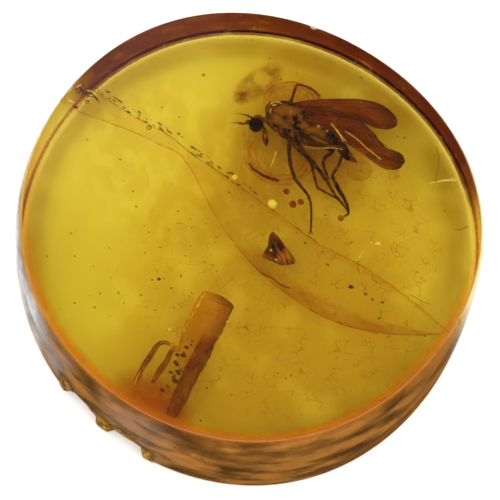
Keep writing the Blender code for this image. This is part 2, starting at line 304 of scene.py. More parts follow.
class Maker:
    """Collects closed shapes, in millimetres, in one mesh."""

    def __init__(self) -> None:
        """Starts with nothing."""
        self.mesh = bmesh.new()
        self.ahead = self.mesh.verts.layers.float_vector.new("ahead")
        self.cover = self.mesh.verts.layers.float.new("cover")
        self.along = self.mesh.verts.layers.float.new("along")

    def point(
        self, place: Place, ahead: Place = (0, 0, 1), cover: float = 1.0, along: float = 0.0
    ) -> bmesh.types.BMVert:
        """Adds a point with its values."""
        made = self.mesh.verts.new(place)
        made[self.ahead] = ahead
        made[self.cover] = cover
        made[self.along] = along
        return made

    def skin(self, rings: Sequence[Sequence[bmesh.types.BMVert]]) -> None:
        """Joins each ring of points to the next; a ring of one point is a tip."""
        for first, second in zip(rings, rings[1:]):
            count = max(len(first), len(second))
            for index in range(count):
                after = (index + 1) % count
                corners = [first[index % len(first)], second[index % len(second)]]
                corners += [second[after % len(second)], first[after % len(first)]]
                self.mesh.faces.new(list(dict.fromkeys(corners))).smooth = True

    def sweep(
        self,
        stations: Sequence[Station],
        sides: int = 12,
        steps: int = 4,
        flatness: float = 1.0,
        relief: Relief | None = None,
        blunt: float = 0.7,
        shade: Relief | None = None,
    ) -> None:
        """Adds a closed round rod.

        Args:
            stations: The points along it and the radius at each.
            sides: How many points it has round.
            steps: How many rings it has for each span.
            flatness: What its height is to its width.
            relief: What to add to the radius, as a share of it, by the share along and the angle.
            blunt: How far each round end stands out, as a share of the radius.
            shade: The value kept on each place, by the share along and the angle.
        """
        line = spline([(*place, radius) for place, radius in stations], steps)
        points = [(value.xyz, abs(value.w)) for value in line]
        ends = (0.25, 0.5, 0.75)
        rings = []
        last = len(points) - 1
        for index, (place, radius) in enumerate(points):
            ahead = (points[min(index + 1, last)][0] - points[max(index - 1, 0)][0]).normalized()
            aside = ahead.cross(Vector((0, 0, 1))).normalized()
            above = aside.cross(ahead).normalized()
            share = index / last
            shifts = [(0.0, 1.0)]
            if index in (0, last):
                way = -1 if index == 0 else 1
                shifts += [(way * blunt * math.sin(end * TAU / 4), math.cos(end * TAU / 4)) for end in ends]
                shifts = shifts[::-1] if index == 0 else shifts
            for shift, width in shifts:
                ring = []
                for side in range(sides):
                    angle = TAU * side / sides
                    wide = radius * width * (1 + (relief(share, angle) if relief else 0.0))
                    off = aside * math.cos(angle) * wide + above * math.sin(angle) * wide * flatness
                    value = shade(share, angle) if shade else 1.0
                    ring.append(self.point(place + ahead * shift * radius + off, ahead, value, share))
                rings.append(ring)
            if index in (0, last):
                tip = [self.point(place + ahead * way * blunt * radius, ahead, 1.0, share)]
                rings = [tip, *rings] if index == 0 else [*rings, tip]
        self.skin(rings)

    def ball(
        self, centre: Place, radii: Place, detail: int = 3, relief: Callable[[Vector], float] | None = None,
        cover: float = 1.0,
    ) -> None:
        """Adds an egg shape.

        Args:
            centre: Its middle.
            radii: Its half sizes.
            detail: How finely it is divided.
            relief: What to add to its size, as a share of it, by the direction from its middle.
            cover: The value kept on its points.
        """
        made = bmesh.ops.create_icosphere(self.mesh, subdivisions=detail, radius=1.0)["verts"]
        for vertex in made:
            way = vertex.co.copy()
            size = 1 + (relief(way) if relief else 0.0)
            vertex.co = Vector(c + r * size * w for c, r, w in zip(centre, radii, way))
            vertex[self.cover] = cover
            for face in vertex.link_faces:
                face.smooth = True

    def sheet(
        self,
        first: Sequence[Vector],
        second: Sequence[Vector],
        across: int,
        thickness: float,
        lift: Relief | None = None,
        cover: Relief | None = None,
    ) -> None:
        """Adds a thin closed sheet between two edges with the same number of points.

        Args:
            first: One edge.
            second: The other edge.
            across: How many spans it has from edge to edge.
            thickness: How thick it is.
            lift: How far to raise each place, by the share along and the share across.
            cover: The value kept on each place, by the same shares.
        """
        count = len(first)
        layers = []
        for way in (-0.5, 0.5):
            rows = []
            for index in range(count):
                row = []
                for step in range(across + 1):
                    along, over = index / (count - 1), step / across
                    place = first[index].lerp(second[index], over)
                    place.z += (lift(along, over) if lift else 0.0) + way * thickness
                    row.append(self.point(place, (1, 0, 0), cover(along, over) if cover else 1.0, along))
                rows.append(row)
            layers.append(rows)
        low, high = layers
        for index in range(count - 1):
            for step in range(across):
                self.quad(low[index][step], low[index][step + 1], low[index + 1][step + 1], low[index + 1][step])
                self.quad(high[index][step], high[index + 1][step], high[index + 1][step + 1], high[index][step + 1])
            for edge in (0, across):
                self.quad(low[index][edge], low[index + 1][edge], high[index + 1][edge], high[index][edge])
        for step in range(across):
            for end in (0, count - 1):
                self.quad(low[end][step], high[end][step], high[end][step + 1], low[end][step + 1])

    def disc(
        self,
        centre: Place,
        half: tuple[float, float],
        cover: Callable[[float, float, float], float],
        turn: float = 0.0,
        rings: int = 24,
        sides: int = 72,
        thickness: float = 0.02,
    ) -> None:
        """Adds a thin closed oval sheet that lies flat.

        Args:
            centre: Its middle.
            half: Its half sizes.
            cover: The value kept on each place, by its x, its y and its share of the way out.
            turn: How far it is turned, in degrees.
            rings: How many spans it has from the middle out.
            sides: How many points it has round.
            thickness: How thick it is.
        """
        layers = []
        spin = Matrix.Rotation(math.radians(turn), 2)
        for way in (-0.5, 0.5):
            height = centre[2] + way * thickness
            layer = [[self.point((centre[0], centre[1], height), cover=cover(centre[0], centre[1], 0.0))]]
            for step in range(1, rings + 1):
                out = step / rings
                ring = []
                for side in range(sides):
                    angle = TAU * side / sides
                    off = spin @ Vector((half[0] * math.cos(angle), half[1] * math.sin(angle))) * out
                    x, y = centre[0] + off.x, centre[1] + off.y
                    ring.append(self.point((x, y, height), cover=max(0.0, cover(x, y, out))))
                layer.append(ring)
            layers.append(layer)
        low, high = layers
        self.skin([*low, *high[::-1]])

    def quad(self, *corners: bmesh.types.BMVert) -> None:
        """Adds a smooth face."""
        self.mesh.faces.new(corners).smooth = True

    def bed(self, name: str) -> bpy.types.Mesh:
        """The shapes as a plain mesh in millimetres, with their faces pointing out."""
        bmesh.ops.recalc_face_normals(self.mesh, faces=self.mesh.faces)
        made = bpy.data.meshes.new(name)
        self.mesh.to_mesh(made)
        self.mesh.free()
        return made

    def done(self, name: str, finish: bpy.types.Material) -> bpy.types.Object:
        """The shapes as a finished piece."""
        made = self.bed(name)
        made.materials.append(finish)
        return placed(name, made)


def merged(name: str, bed: bpy.types.Mesh, voxel: float, smooth: int, finish: bpy.types.Material) -> bpy.types.Mesh:
    """Melts overlapping closed shapes into one skin, still in millimetres.

    Args:
        name: The mesh's name.
        bed: The shapes.
        voxel: The size of the skin's faces.
        smooth: How many times it is smoothed.
        finish: Its material.

    Returns:
        The one skin.
    """
    holder = bpy.data.objects.new(name, bed)
    bpy.context.scene.collection.objects.link(holder)
    melt = holder.modifiers.new("melt", "REMESH")
    melt.mode = "VOXEL"
    melt.voxel_size = voxel
    melt.use_smooth_shade = True
    calm = holder.modifiers.new("calm", "SMOOTH")
    calm.iterations = smooth
    made = plain_mesh(holder)
    bpy.data.objects.remove(holder, do_unlink=True)
    made.materials.clear()
    made.materials.append(finish)
    return made


# Finishes


@dataclass(frozen=True)
class Finish:
    """What every surface has in common."""

    name: str

    def make(self) -> bpy.types.Material:
        """The finish as a material."""
        made = bpy.data.materials.new(self.name)
        made.use_nodes = True
        graph = Shader(made.node_tree)
        surface = made.node_tree.nodes["Principled BSDF"]
        self.dress(graph, surface, made.node_tree.nodes["Material Output"])
        return made

    def dress(self, graph: Shader, surface: bpy.types.Node, output: bpy.types.Node) -> None:
        """Writes the finish's nodes round the surface and the output."""
        raise NotImplementedError


@dataclass(frozen=True)
class ClearAmber(Finish):
    """Polished fossil resin: bends light, and takes up blue most and red least."""

    loss: Colour = (5.0, 29.0, 320.0)
    index: float = 1.54
    wall_roughness: float = 0.16
    scratch_depth: float = 0.0022

    def dress(self, graph: Shader, surface: bpy.types.Node, output: bpy.types.Node) -> None:
        """Plain glass values and absorption, with roughness and bumps that vary over the surface."""
        thickest = max(self.loss)
        surface.inputs["Base Color"].default_value = (1, 1, 1, 1)
        surface.inputs["Transmission Weight"].default_value = 1.0
        surface.inputs["IOR"].default_value = self.index
        inside = graph.node(
            "ShaderNodeVolumeAbsorption",
            {"Color": (*(1 - loss / thickest for loss in self.loss), 1), "Density": thickest},
        )
        place = graph.millimetres()
        wall = graph.attribute("wall")
        crust = graph.attribute("crust")
        fine = graph.clouds(0.35, place, 5.0)
        worn = graph.maths("MULTIPLY", wall, graph.between(fine, 0.3, 0.75, 0.5, 1.4))
        rough = graph.maths("MULTIPLY", graph.maths("ADD", worn, crust), self.wall_roughness)
        lines = graph.clouds(0.05, graph.millimetres((0.12, 1, 1), (0, 0, 0.6)), 2.0)
        more = graph.clouds(0.05, graph.millimetres((0.12, 1, 1), (0, 0, -0.9)), 2.0)
        scratches = graph.maths("MAXIMUM", graph.between(lines, 0.66, 0.75), graph.between(more, 0.66, 0.75))
        broken = graph.maths("MULTIPLY", graph.clouds(0.12, place, 6.0, 0.7), crust)
        height = graph.maths("SUBTRACT", graph.maths("MULTIPLY", broken, 12.0), scratches)
        bump = graph.bumps(height, self.scratch_depth)
        tree = graph.tree
        tree.links.new(inside, output.inputs["Volume"])
        tree.links.new(rough, surface.inputs["Roughness"])
        tree.links.new(bump, surface.inputs["Normal"])


class Pattern(Enum):
    """How a film's colour is spread."""

    CLOUDS = "clouds"
    CRACKLE = "crackle"


@dataclass(frozen=True)
class Film(Finish):
    """A thin layer inside the resin that tints what is behind it and clouds it a little.

    Where the piece keeps a cover of 0 it can't be seen, and at 1 it shows in full.
    """

    tint: Colour
    veil: Colour
    clouding: float = 0.1
    patch: float = 0.6
    sparse: tuple[float, float] = (0.3, 0.6)
    stretch: Place = (1, 1, 1)
    turn: float = 0.0
    masked: bool = True
    pattern: Pattern = Pattern.CLOUDS
    deepest: float = 1.0
    detail: float = 4.0
    roughness: float = 0.6
    index: float = 1.05
    crack_width: float = 0.03

    def dress(self, graph: Shader, surface: bpy.types.Node, output: bpy.types.Node) -> None:
        """A tinted see-through shader with a share of dull cloud."""
        place = graph.millimetres(self.stretch, (0, 0, self.turn))
        if self.pattern is Pattern.CRACKLE:
            folds = {"Vector": place, "Scale": 1.2 / self.patch, "Detail": 0.0}
            wander = graph.node("ShaderNodeTexNoise", folds, out="Color")
            shift = graph.node("ShaderNodeVectorMath", {0: wander, "Scale": 0.5}, operation="SCALE")
            bent = graph.node("ShaderNodeVectorMath", {0: place, 1: shift}, operation="ADD")
            cells = {"Vector": bent, "Scale": 1 / self.patch}
            edge = graph.node("ShaderNodeTexVoronoi", cells, feature="DISTANCE_TO_EDGE")
            some = graph.between(graph.clouds(self.patch * 1.5, place, 1.0), *self.sparse)
            spread = graph.maths("MULTIPLY", graph.between(edge, 0.0, self.crack_width, 1.0, 0.0), some)
        else:
            spread = graph.between(graph.clouds(self.patch, place, self.detail), *self.sparse)
        shown = graph.maths("MULTIPLY", spread, graph.attribute("cover")) if self.masked else spread
        tint = graph.tinted(shown, (1.0, 1.0, 1.0), self.tint)
        clear = graph.node("ShaderNodeBsdfTransparent", {"Color": tint})
        if self.clouding == 0:
            graph.tree.links.new(clear, output.inputs["Surface"])
            return
        surface.inputs["Roughness"].default_value = self.roughness
        surface.inputs["IOR"].default_value = self.index
        surface.inputs["Base Color"].default_value = (*self.veil, 1)
        if self.deepest < 1:
            streaks = graph.between(graph.clouds(self.patch / 2, place, self.detail), 0.36, 0.64)
            deep = tuple(part * self.deepest for part in self.veil)
            graph.tree.links.new(graph.tinted(streaks, deep, self.veil), surface.inputs["Base Color"])
        share = graph.maths("MULTIPLY", shown, self.clouding)
        graph.tree.links.new(graph.mixed(share, clear, surface.outputs[0]), output.inputs["Surface"])


@dataclass(frozen=True)
class Chitin(Finish):
    """Hard skin that lets some light through: the thicker the part, the darker and redder it looks."""

    dark: Colour = (0.008, 0.0025, 0.001)
    light: Colour = (0.8, 0.3, 0.015)
    patch: float = 0.34
    balance: tuple[float, float] = (0.54, 0.86)
    clear: tuple[float, float] = (0.05, 0.55)
    loss: Colour = (1000.0, 3600.0, 9000.0)
    roughness: float = 0.3
    depth: float = 0.012
    # Where, in millimetres to the right, the pale patches start and stop giving way to dark, and how far
    tail: tuple[float, float] = (90.0, 91.0)
    faded: float = 0.6
    index: float = 1.06

    def dress(self, graph: Shader, surface: bpy.types.Node, output: bpy.types.Node) -> None:
        """Mottled skin mixed with clear patches, over an inside that takes up light."""
        thickest = max(self.loss)
        inside = graph.node(
            "ShaderNodeVolumeAbsorption",
            {"Color": (*(1 - loss / thickest for loss in self.loss), 1), "Density": thickest},
        )
        place = graph.millimetres()
        broad = graph.clouds(self.patch, place)
        fine = graph.clouds(self.patch / 5, place, 5.0, 0.65)
        speckled = graph.between(graph.maths("ADD", broad, graph.maths("MULTIPLY", fine, 0.25)), *self.balance)
        right = graph.node("ShaderNodeSeparateXYZ", {0: place}, out="X")
        mottled = graph.maths("MULTIPLY", speckled, graph.between(right, *self.tail, 1.0, self.faded))
        surface.inputs["IOR"].default_value = self.index
        links = graph.tree.links
        links.new(graph.tinted(mottled, self.dark, self.light), surface.inputs["Base Color"])
        links.new(graph.between(fine, 0.3, 0.7, self.roughness, self.roughness + 0.2), surface.inputs["Roughness"])
        links.new(graph.bumps(fine, self.depth), surface.inputs["Normal"])
        clear = graph.node("ShaderNodeBsdfTransparent")
        share = graph.between(mottled, 0.0, 1.0, *self.clear)
        links.new(graph.mixed(share, surface.outputs[0], clear), output.inputs["Surface"])
        links.new(inside, output.inputs["Volume"])


@dataclass(frozen=True)
class Horn(Finish):
    """An insect's hard skin soaked in resin: dark and orange-brown mottled together."""

    dark: Colour = (0.02, 0.006, 0.002)
    light: Colour = (0.3, 0.1, 0.015)
    patch: float = 0.5
    balance: tuple[float, float] = (0.42, 0.68)
    roughness: float = 0.32
    stretch: Place = (1, 1, 1)
    turn: float = 0.0
    depth: float = 0.012

    def dress(self, graph: Shader, surface: bpy.types.Node, output: bpy.types.Node) -> None:
        """Two colours mottled together, with a fine leathery bump."""
        place = graph.millimetres(self.stretch, (0, 0, self.turn))
        broad = graph.clouds(self.patch, place)
        fine = graph.clouds(self.patch / 7, place, 5.0, 0.65)
        mottled = graph.between(graph.maths("ADD", broad, graph.maths("MULTIPLY", fine, 0.35)), *self.balance)
        colour = graph.tinted(mottled, self.dark, self.light)
        surface.inputs["IOR"].default_value = SOAKED_INDEX
        links = graph.tree.links
        links.new(colour, surface.inputs["Base Color"])
        links.new(graph.between(fine, 0.3, 0.7, self.roughness, self.roughness + 0.2), surface.inputs["Roughness"])
        links.new(graph.bumps(fine, self.depth), surface.inputs["Normal"])


@dataclass(frozen=True)
class Membrane(Finish):
    """A wing's skin: brown, thin enough to see through in part."""

    dark: Colour = (0.07, 0.018, 0.002)
    light: Colour = (0.3, 0.095, 0.008)
    through: Colour = (0.8, 0.44, 0.11)
    thin: tuple[float, float] = (0.42, 0.9)

    def dress(self, graph: Shader, surface: bpy.types.Node, output: bpy.types.Node) -> None:
        """Brown skin mixed with tinted glass by soft patches, darker along the front edge."""
        place = graph.millimetres((0.5, 1.4, 1), (0, 0, -0.35))
        broad = graph.clouds(0.9, place)
        fine = graph.clouds(0.12, place, 5.0)
        cover = graph.attribute("cover")
        shade = graph.between(graph.maths("ADD", broad, graph.maths("MULTIPLY", fine, 0.3)), 0.45, 0.85)
        colour = graph.tinted(graph.maths("MULTIPLY", shade, cover), self.dark, self.light)
        surface.inputs["IOR"].default_value = SOAKED_INDEX
        links = graph.tree.links
        links.new(colour, surface.inputs["Base Color"])
        links.new(graph.between(fine, 0.3, 0.7, 0.28, 0.5), surface.inputs["Roughness"])
        links.new(graph.bumps(fine, 0.02), surface.inputs["Normal"])
        clear = graph.node("ShaderNodeBsdfTransparent", {"Color": (*self.through, 1)})
        share = graph.maths("MULTIPLY", graph.between(broad, 0.3, 0.7, *self.thin), cover)
        links.new(graph.mixed(share, surface.outputs[0], clear), output.inputs["Surface"])


@dataclass(frozen=True)
class Fibrous(Finish):
    """Plant tissue with its fibres running one way."""

    dark: Colour = (0.035, 0.01, 0.003)
    light: Colour = (0.34, 0.13, 0.02)
    turn: float = 0.0
    strand: float = 0.1
    balance: tuple[float, float] = (0.4, 0.66)
    depth: float = 0.03
    ghostly: bool = False

    def dress(self, graph: Shader, surface: bpy.types.Node, output: bpy.types.Node) -> None:
        """Streaks along the fibres over broad patches."""
        lengthwise = graph.millimetres((1, 0.12, 1), (0, 0, self.turn))
        streaks = graph.clouds(self.strand, lengthwise, 5.0, 0.6)
        broad = graph.clouds(0.8, graph.millimetres())
        shade = graph.between(graph.maths("ADD", streaks, graph.maths("MULTIPLY", broad, 0.6)), *self.balance)
        cover = graph.attribute("cover")
        lit = shade if self.ghostly else graph.maths("MULTIPLY", shade, cover)
        colour = graph.tinted(lit, self.dark, self.light)
        surface.inputs["IOR"].default_value = SOAKED_INDEX
        links = graph.tree.links
        links.new(colour, surface.inputs["Base Color"])
        links.new(graph.between(streaks, 0.3, 0.7, 0.45, 0.8), surface.inputs["Roughness"])
        links.new(graph.bumps(streaks, self.depth), surface.inputs["Normal"])
        if self.ghostly:
            gold = graph.tinted(graph.between(cover, 0.0, 0.04), (1.0, 1.0, 1.0), (0.99, 0.87, 0.58))
            tint = graph.tinted(cover, gold, (0.62, 0.3, 0.06))
            clear = graph.node("ShaderNodeBsdfTransparent", {"Color": tint})
            solid = graph.maths("MULTIPLY", cover, graph.between(streaks, 0.3, 0.7, 0.85, 0.5))
            links.new(graph.mixed(solid, clear, surface.outputs[0]), output.inputs["Surface"])


@dataclass(frozen=True)
class Matt(Finish):
    """The floor: plain and pale."""

    colour: Colour = (0.9, 0.9, 0.89)

    def dress(self, graph: Shader, surface: bpy.types.Node, output: bpy.types.Node) -> None:
        """Almost even, with a faint tooth."""
        fine = graph.clouds(3.0, graph.millimetres(), 3.0)
        paler = tuple(share * 0.98 for share in self.colour)
        graph.tree.links.new(graph.tinted(fine, self.colour, paler), surface.inputs["Base Color"])
        surface.inputs["Roughness"].default_value = 0.9


# Trees that grow small repeats


def bristle_tree() -> Growth:
    """Fine tapered hairs over a surface, leaning the way that the surface's points say."""
    tree = Growth(
        "bristles",
        {
            "Density": "NodeSocketFloat",
            "Length": "NodeSocketFloat",
            "Width": "NodeSocketFloat",
            "Lean": "NodeSocketFloat",
            "Seed": "NodeSocketInt",
        },
    )
    given = tree.given
    points = tree.node(
        "GeometryNodeDistributePointsOnFaces",
        {"Mesh": given["Geometry"], "Density": given["Density"], "Seed": given["Seed"]},
    )
    ahead = tree.node("GeometryNodeInputNamedAttribute", {"Name": "ahead"}, data_type="FLOAT_VECTOR")
    leaning = tree.node("ShaderNodeVectorMath", {0: ahead, "Scale": given["Lean"]}, operation="SCALE")
    way = tree.node("ShaderNodeVectorMath", {0: points.node.outputs["Normal"], 1: leaning}, operation="ADD")
    turn = tree.node("FunctionNodeAlignRotationToVector", {"Vector": way}, axis="Z")
    spike = tree.node(
        "GeometryNodeMeshCone",
        {"Vertices": 4, "Radius Top": 0.0, "Radius Bottom": given["Width"], "Depth": given["Length"]},
    )
    size = tree.node("FunctionNodeRandomValue", {"Seed": given["Seed"]}, out=1, data_type="FLOAT")
    size.node.inputs[2].default_value = 0.5
    size.node.inputs[3].default_value = 1.2
    hairs = tree.node(
        "GeometryNodeInstanceOnPoints", {"Points": points, "Instance": spike, "Rotation": turn, "Scale": size}
    )
    tree.close(hairs)
    return tree


def strand_tree() -> Growth:
    """Round threads along the bed's edges, as thick as its points say."""
    tree = Growth("strands", {"Sides": "NodeSocketInt"})
    lines = tree.node("GeometryNodeMeshToCurve", {"Mesh": tree.given["Geometry"]})
    width = tree.node("GeometryNodeInputNamedAttribute", {"Name": "cover"}, data_type="FLOAT")
    ring = tree.node("GeometryNodeCurvePrimitiveCircle", {"Resolution": tree.given["Sides"], "Radius": 1.0})
    shape = {"Curve": lines, "Profile Curve": ring, "Scale": width, "Fill Caps": True}
    tubes = tree.node("GeometryNodeCurveToMesh", shape)
    tree.close(tree.node("GeometryNodeSetShadeSmooth", {"Geometry": tubes}))
    return tree


def facet_tree() -> Growth:
    """Raised six-sided facets over a ball that is set down on each of the bed's points."""
    tree = Growth("facets", {"Radius": "NodeSocketFloat", "Detail": "NodeSocketInt", "Rise": "NodeSocketFloat"})
    given = tree.given
    ball = tree.node("GeometryNodeMeshIcoSphere", {"Radius": given["Radius"], "Subdivisions": given["Detail"]})
    cells = tree.node("GeometryNodeDualMesh", {"Mesh": ball})
    raised = tree.node(
        "GeometryNodeExtrudeMesh", {"Mesh": cells, "Offset Scale": given["Rise"], "Individual": True}, mode="FACES"
    )
    tops = tree.node(
        "GeometryNodeScaleElements",
        {"Geometry": raised, "Selection": raised.node.outputs["Top"], "Scale": 0.62},
        domain="FACE",
    )
    eyes = tree.node("GeometryNodeInstanceOnPoints", {"Points": given["Geometry"], "Instance": tops})
    tree.close(eyes)
    return tree


def speck_tree() -> Growth:
    """Small uneven grains scattered over a surface."""
    tree = Growth(
        "specks",
        {
            "Density": "NodeSocketFloat",
            "Size": "NodeSocketFloat",
            "Seed": "NodeSocketInt",
            "Stretch": "NodeSocketVector",
        },
    )
    given = tree.given
    points = tree.node(
        "GeometryNodeDistributePointsOnFaces",
        {
            "Mesh": given["Geometry"],
            "Density": given["Density"],
            "Seed": given["Seed"],
            "Selection": tree.node(
                "FunctionNodeCompare",
                {
                    0: tree.node("GeometryNodeInputNamedAttribute", {"Name": "cover"}, data_type="FLOAT"),
                    1: 0.3,
                },
                operation="GREATER_THAN",
            ),
        },
    )
    grit = tree.node("GeometryNodeMeshIcoSphere", {"Radius": given["Size"], "Subdivisions": 2})
    size = tree.node("FunctionNodeRandomValue", {"Seed": given["Seed"]}, out=1, data_type="FLOAT")
    size.node.inputs[2].default_value = 0.35
    size.node.inputs[3].default_value = 1.3
    scaled = tree.node("ShaderNodeVectorMath", {0: given["Stretch"], "Scale": size}, operation="SCALE")
    spin = tree.node("FunctionNodeRandomValue", {"Seed": given["Seed"]}, out=0, data_type="FLOAT_VECTOR")
    spin.node.inputs[0].default_value = (0.0, 0.0, -0.9)
    spin.node.inputs[1].default_value = (0.3, 0.3, -0.3)
    grains = tree.node(
        "GeometryNodeInstanceOnPoints", {"Points": points, "Instance": grit, "Rotation": spin, "Scale": scaled}
    )
    tree.close(tree.node("GeometryNodeSetShadeSmooth", {"Geometry": grains}))
    return tree


class Strands:
    """Threads, each along its own curve."""

    def __init__(self) -> None:
        """Starts with none."""
        self.maker = Maker()

    def add(self, points: Sequence[Place], start: float, end: float, steps: int = 8) -> None:
        """Adds a thread.

        Args:
            points: What it passes through.
            start: Its radius at the first point.
            end: Its radius at the last.
            steps: How many points to make for each span.
        """
        line = spline(points, steps)
        last = len(line) - 1
        made = [
            self.maker.point(place, cover=start + (end - start) * index / last) for index, place in enumerate(line)
        ]
        for first, second in zip(made, made[1:]):
            self.maker.mesh.edges.new((first, second))

    def done(self, name: str, tree: Growth, finish: bpy.types.Material, sides: int = 6) -> bpy.types.Object:
        """The threads as a finished piece."""
        return tree.grow(name, self.maker.bed(name), finish, {"Sides": sides})


# The slab


@dataclass
class AmberSlab:
    """The clear slab: flat polished faces, a wall that bellies a little, a broken crust low on it."""

    thickness: float = 4.7
    radius: float = 12.1
    centre: tuple[float, float] = (-0.135, 0.319)
    # Cosine and sine parts by the number of waves round the outline
    face_waves: dict = field(default_factory=lambda: {2: (-0.059, -0.032), 3: (0.104, 0.015), 4: (0.065, 0.049)})
    back_waves: dict = field(
        default_factory=lambda: {0: (0.142, 0.0), 1: (0.168, -0.264), 2: (-0.202, 0.101), 3: (-0.092, 0.04)}
    )
    shoulder_out: float = 0.2
    shoulder_depth: float = 0.56
    near_belly: float = 0.18
    back_round: float = 0.16
    rim_round: float = 0.025
    # Angle and half width in degrees, and depth
    chips: tuple = ((224.3, 5.4, 0.56), (238.4, 5.3, 0.52))
    chip_height: float = 1.7
    crust_middle: float = 231.0
    crust_half_width: float = 17.0
    crust_roughness: float = 0.07
    crust_grain: float = 0.9
    crust_crumble: float = 0.28
    # Nicks in the rim: angle and half width in degrees, then depth and height
    rim_nicks: tuple = ((71.5, 1.3, 0.16, 0.22), (141.0, 1.6, 0.1, 0.2), (333.0, 1.2, 0.12, 0.25))
    segments: int = 480
    # The step in degrees between a coat's points, and its thickness
    coat_step: float = 0.75
    coat_thickness: float = 0.02
    rows: int = 56
    # Centre and radius of each bubble
    bubbles: tuple = (
        ((-2.29, 9.4, 2.6), 0.09), ((-5.31, 6.27, 2.6), 0.15), ((-8.58, 7.77, 2.6), 0.13),
        ((3.89, -1.62, 2.6), 0.07), ((4.85, 1.05, 2.4), 0.15),
    )
    bubble_shape: Place = (1.0, 0.96, 0.9)
    # The angles in degrees between which each coat lies
    skin_span: tuple[float, float] = (2, 143)
    rind_span: tuple[float, float] = (150, 342)
    rubble_span: tuple[float, float] = (214, 249)
    reflection_span: tuple[float, float] = (150, 258)
    lit_span: tuple[float, float] = (318, 376)
    glow_span: tuple[float, float] = (150, 385)
    # How much of each coat there is at an angle in degrees
    skin_cover: tuple = (
        (0, 0.0), (5, 0.1), (15, 1.0), (60, 1.0), (85, 0.88), (120, 0.95), (130, 0.95), (143, 0.0)
    )
    rind_cover: tuple = (
        (150, 0.0), (200, 0.35), (214, 1.0), (262, 1.0), (300, 0.85), (320, 0.65), (340, 0.0), (360, 0.0)
    )
    reflection_cover: tuple = (
        (150, 0.0), (166, 0.1), (186, 0.95), (202, 0.8), (212, 0.15), (224, 0.0), (240, 0.06), (256, 0.0)
    )
    lit_cover: tuple = ((0, 1.0), (8, 0.8), (15, 0.0), (318, 0.0), (332, 0.9), (360, 1.0))
    glow_cover: tuple = (
        (0, 0.2), (20, 0.0), (150, 0.0), (170, 0.3), (205, 0.7), (222, 1.0), (300, 1.0), (328, 0.7), (345, 0.3),
        (360, 0.2),
    )
    # Angle and half width in degrees, and how high each heap of rubble reaches
    heaps: tuple = ((219.5, 3.2, 2.9), (232.0, 5.5, 2.5), (238.5, 4.5, 3.0), (243.0, 4.0, 2.0))

    @staticmethod
    def waves(parts: dict, angle: float) -> float:
        """The outline's departure from a circle at that angle."""
        return sum(a * math.cos(k * angle) + b * math.sin(k * angle) for k, (a, b) in parts.items())

    def crust(self, angle: float, height: float) -> float:
        """How much of the broken crust there is at a place on the wall, from 0 to 1."""
        near = max(0.0, 1 - abs(math.degrees(angle) % 360 - self.crust_middle) / self.crust_half_width)
        return near * max(0.0, 1 - (height / self.chip_height) ** 2)

    def lost(self, angle: float, height: float) -> float:
        """How far the broken crust lies inside the sound wall."""
        degrees = math.degrees(angle) % 360
        fade = max(0.0, 1 - (height / self.chip_height) ** 2)
        gone = 0.0
        for middle, half_width, depth in self.chips:
            across = abs(degrees - middle) / half_width
            gone += depth * fade * min(1.0, 3 * max(0.0, 1 - across))
        place = Vector((math.cos(angle), math.sin(angle), height / self.radius)) * (self.radius / self.crust_grain)
        rough = self.crust(angle, height)
        gone += self.crust_roughness * rough * (1 + noise.noise(place))
        return gone + self.crust_crumble * rough * abs(grain(place, 0.9, 4))

    def wall(self, angle: float, depth: float, inset: float = 0.0) -> Vector:
        """A point on the side wall.

        Args:
            angle: Where round the slab, in radians.
            depth: How far below the front face.
            inset: How far inside the wall.

        Returns:
            The point, in millimetres.
        """
        share, height = depth / self.thickness, self.thickness - depth
        radius = self.radius + self.waves(self.face_waves, angle)
        radius += self.shoulder_out * (1 - (1 - min(depth / self.shoulder_depth, 1)) ** 2)
        radius += self.waves(self.back_waves, angle) * share
        radius += self.near_belly * math.sin(math.pi * share) * (1 - math.sin(angle)) / 2
        radius -= self.back_round * max(0.0, 1 - height / self.back_round) ** 2
        radius -= self.lost(angle, height) + inset
        if depth < self.rim_round:
            radius -= self.rim_round - math.sqrt(self.rim_round**2 - (self.rim_round - depth) ** 2)
        for middle, half_width, deep, tall in self.rim_nicks:
            near = max(0.0, 1 - abs(math.degrees(angle) % 360 - middle) / half_width)
            radius -= deep * ease(near, 0.0, 0.8) * max(0.0, 1 - depth / tall)
        return Vector((self.centre[0] + radius * math.cos(angle), self.centre[1] + radius * math.sin(angle), height))

    def depths(self) -> list[float]:
        """The wall's rings, close together where the rim is round."""
        rim = [self.rim_round * share**2 for share in (0.0, 0.25, 0.45, 0.65, 0.85, 1.0)]
        rest = self.thickness - self.rim_round
        return rim + [self.rim_round + rest * step / self.rows for step in range(1, self.rows + 1)]

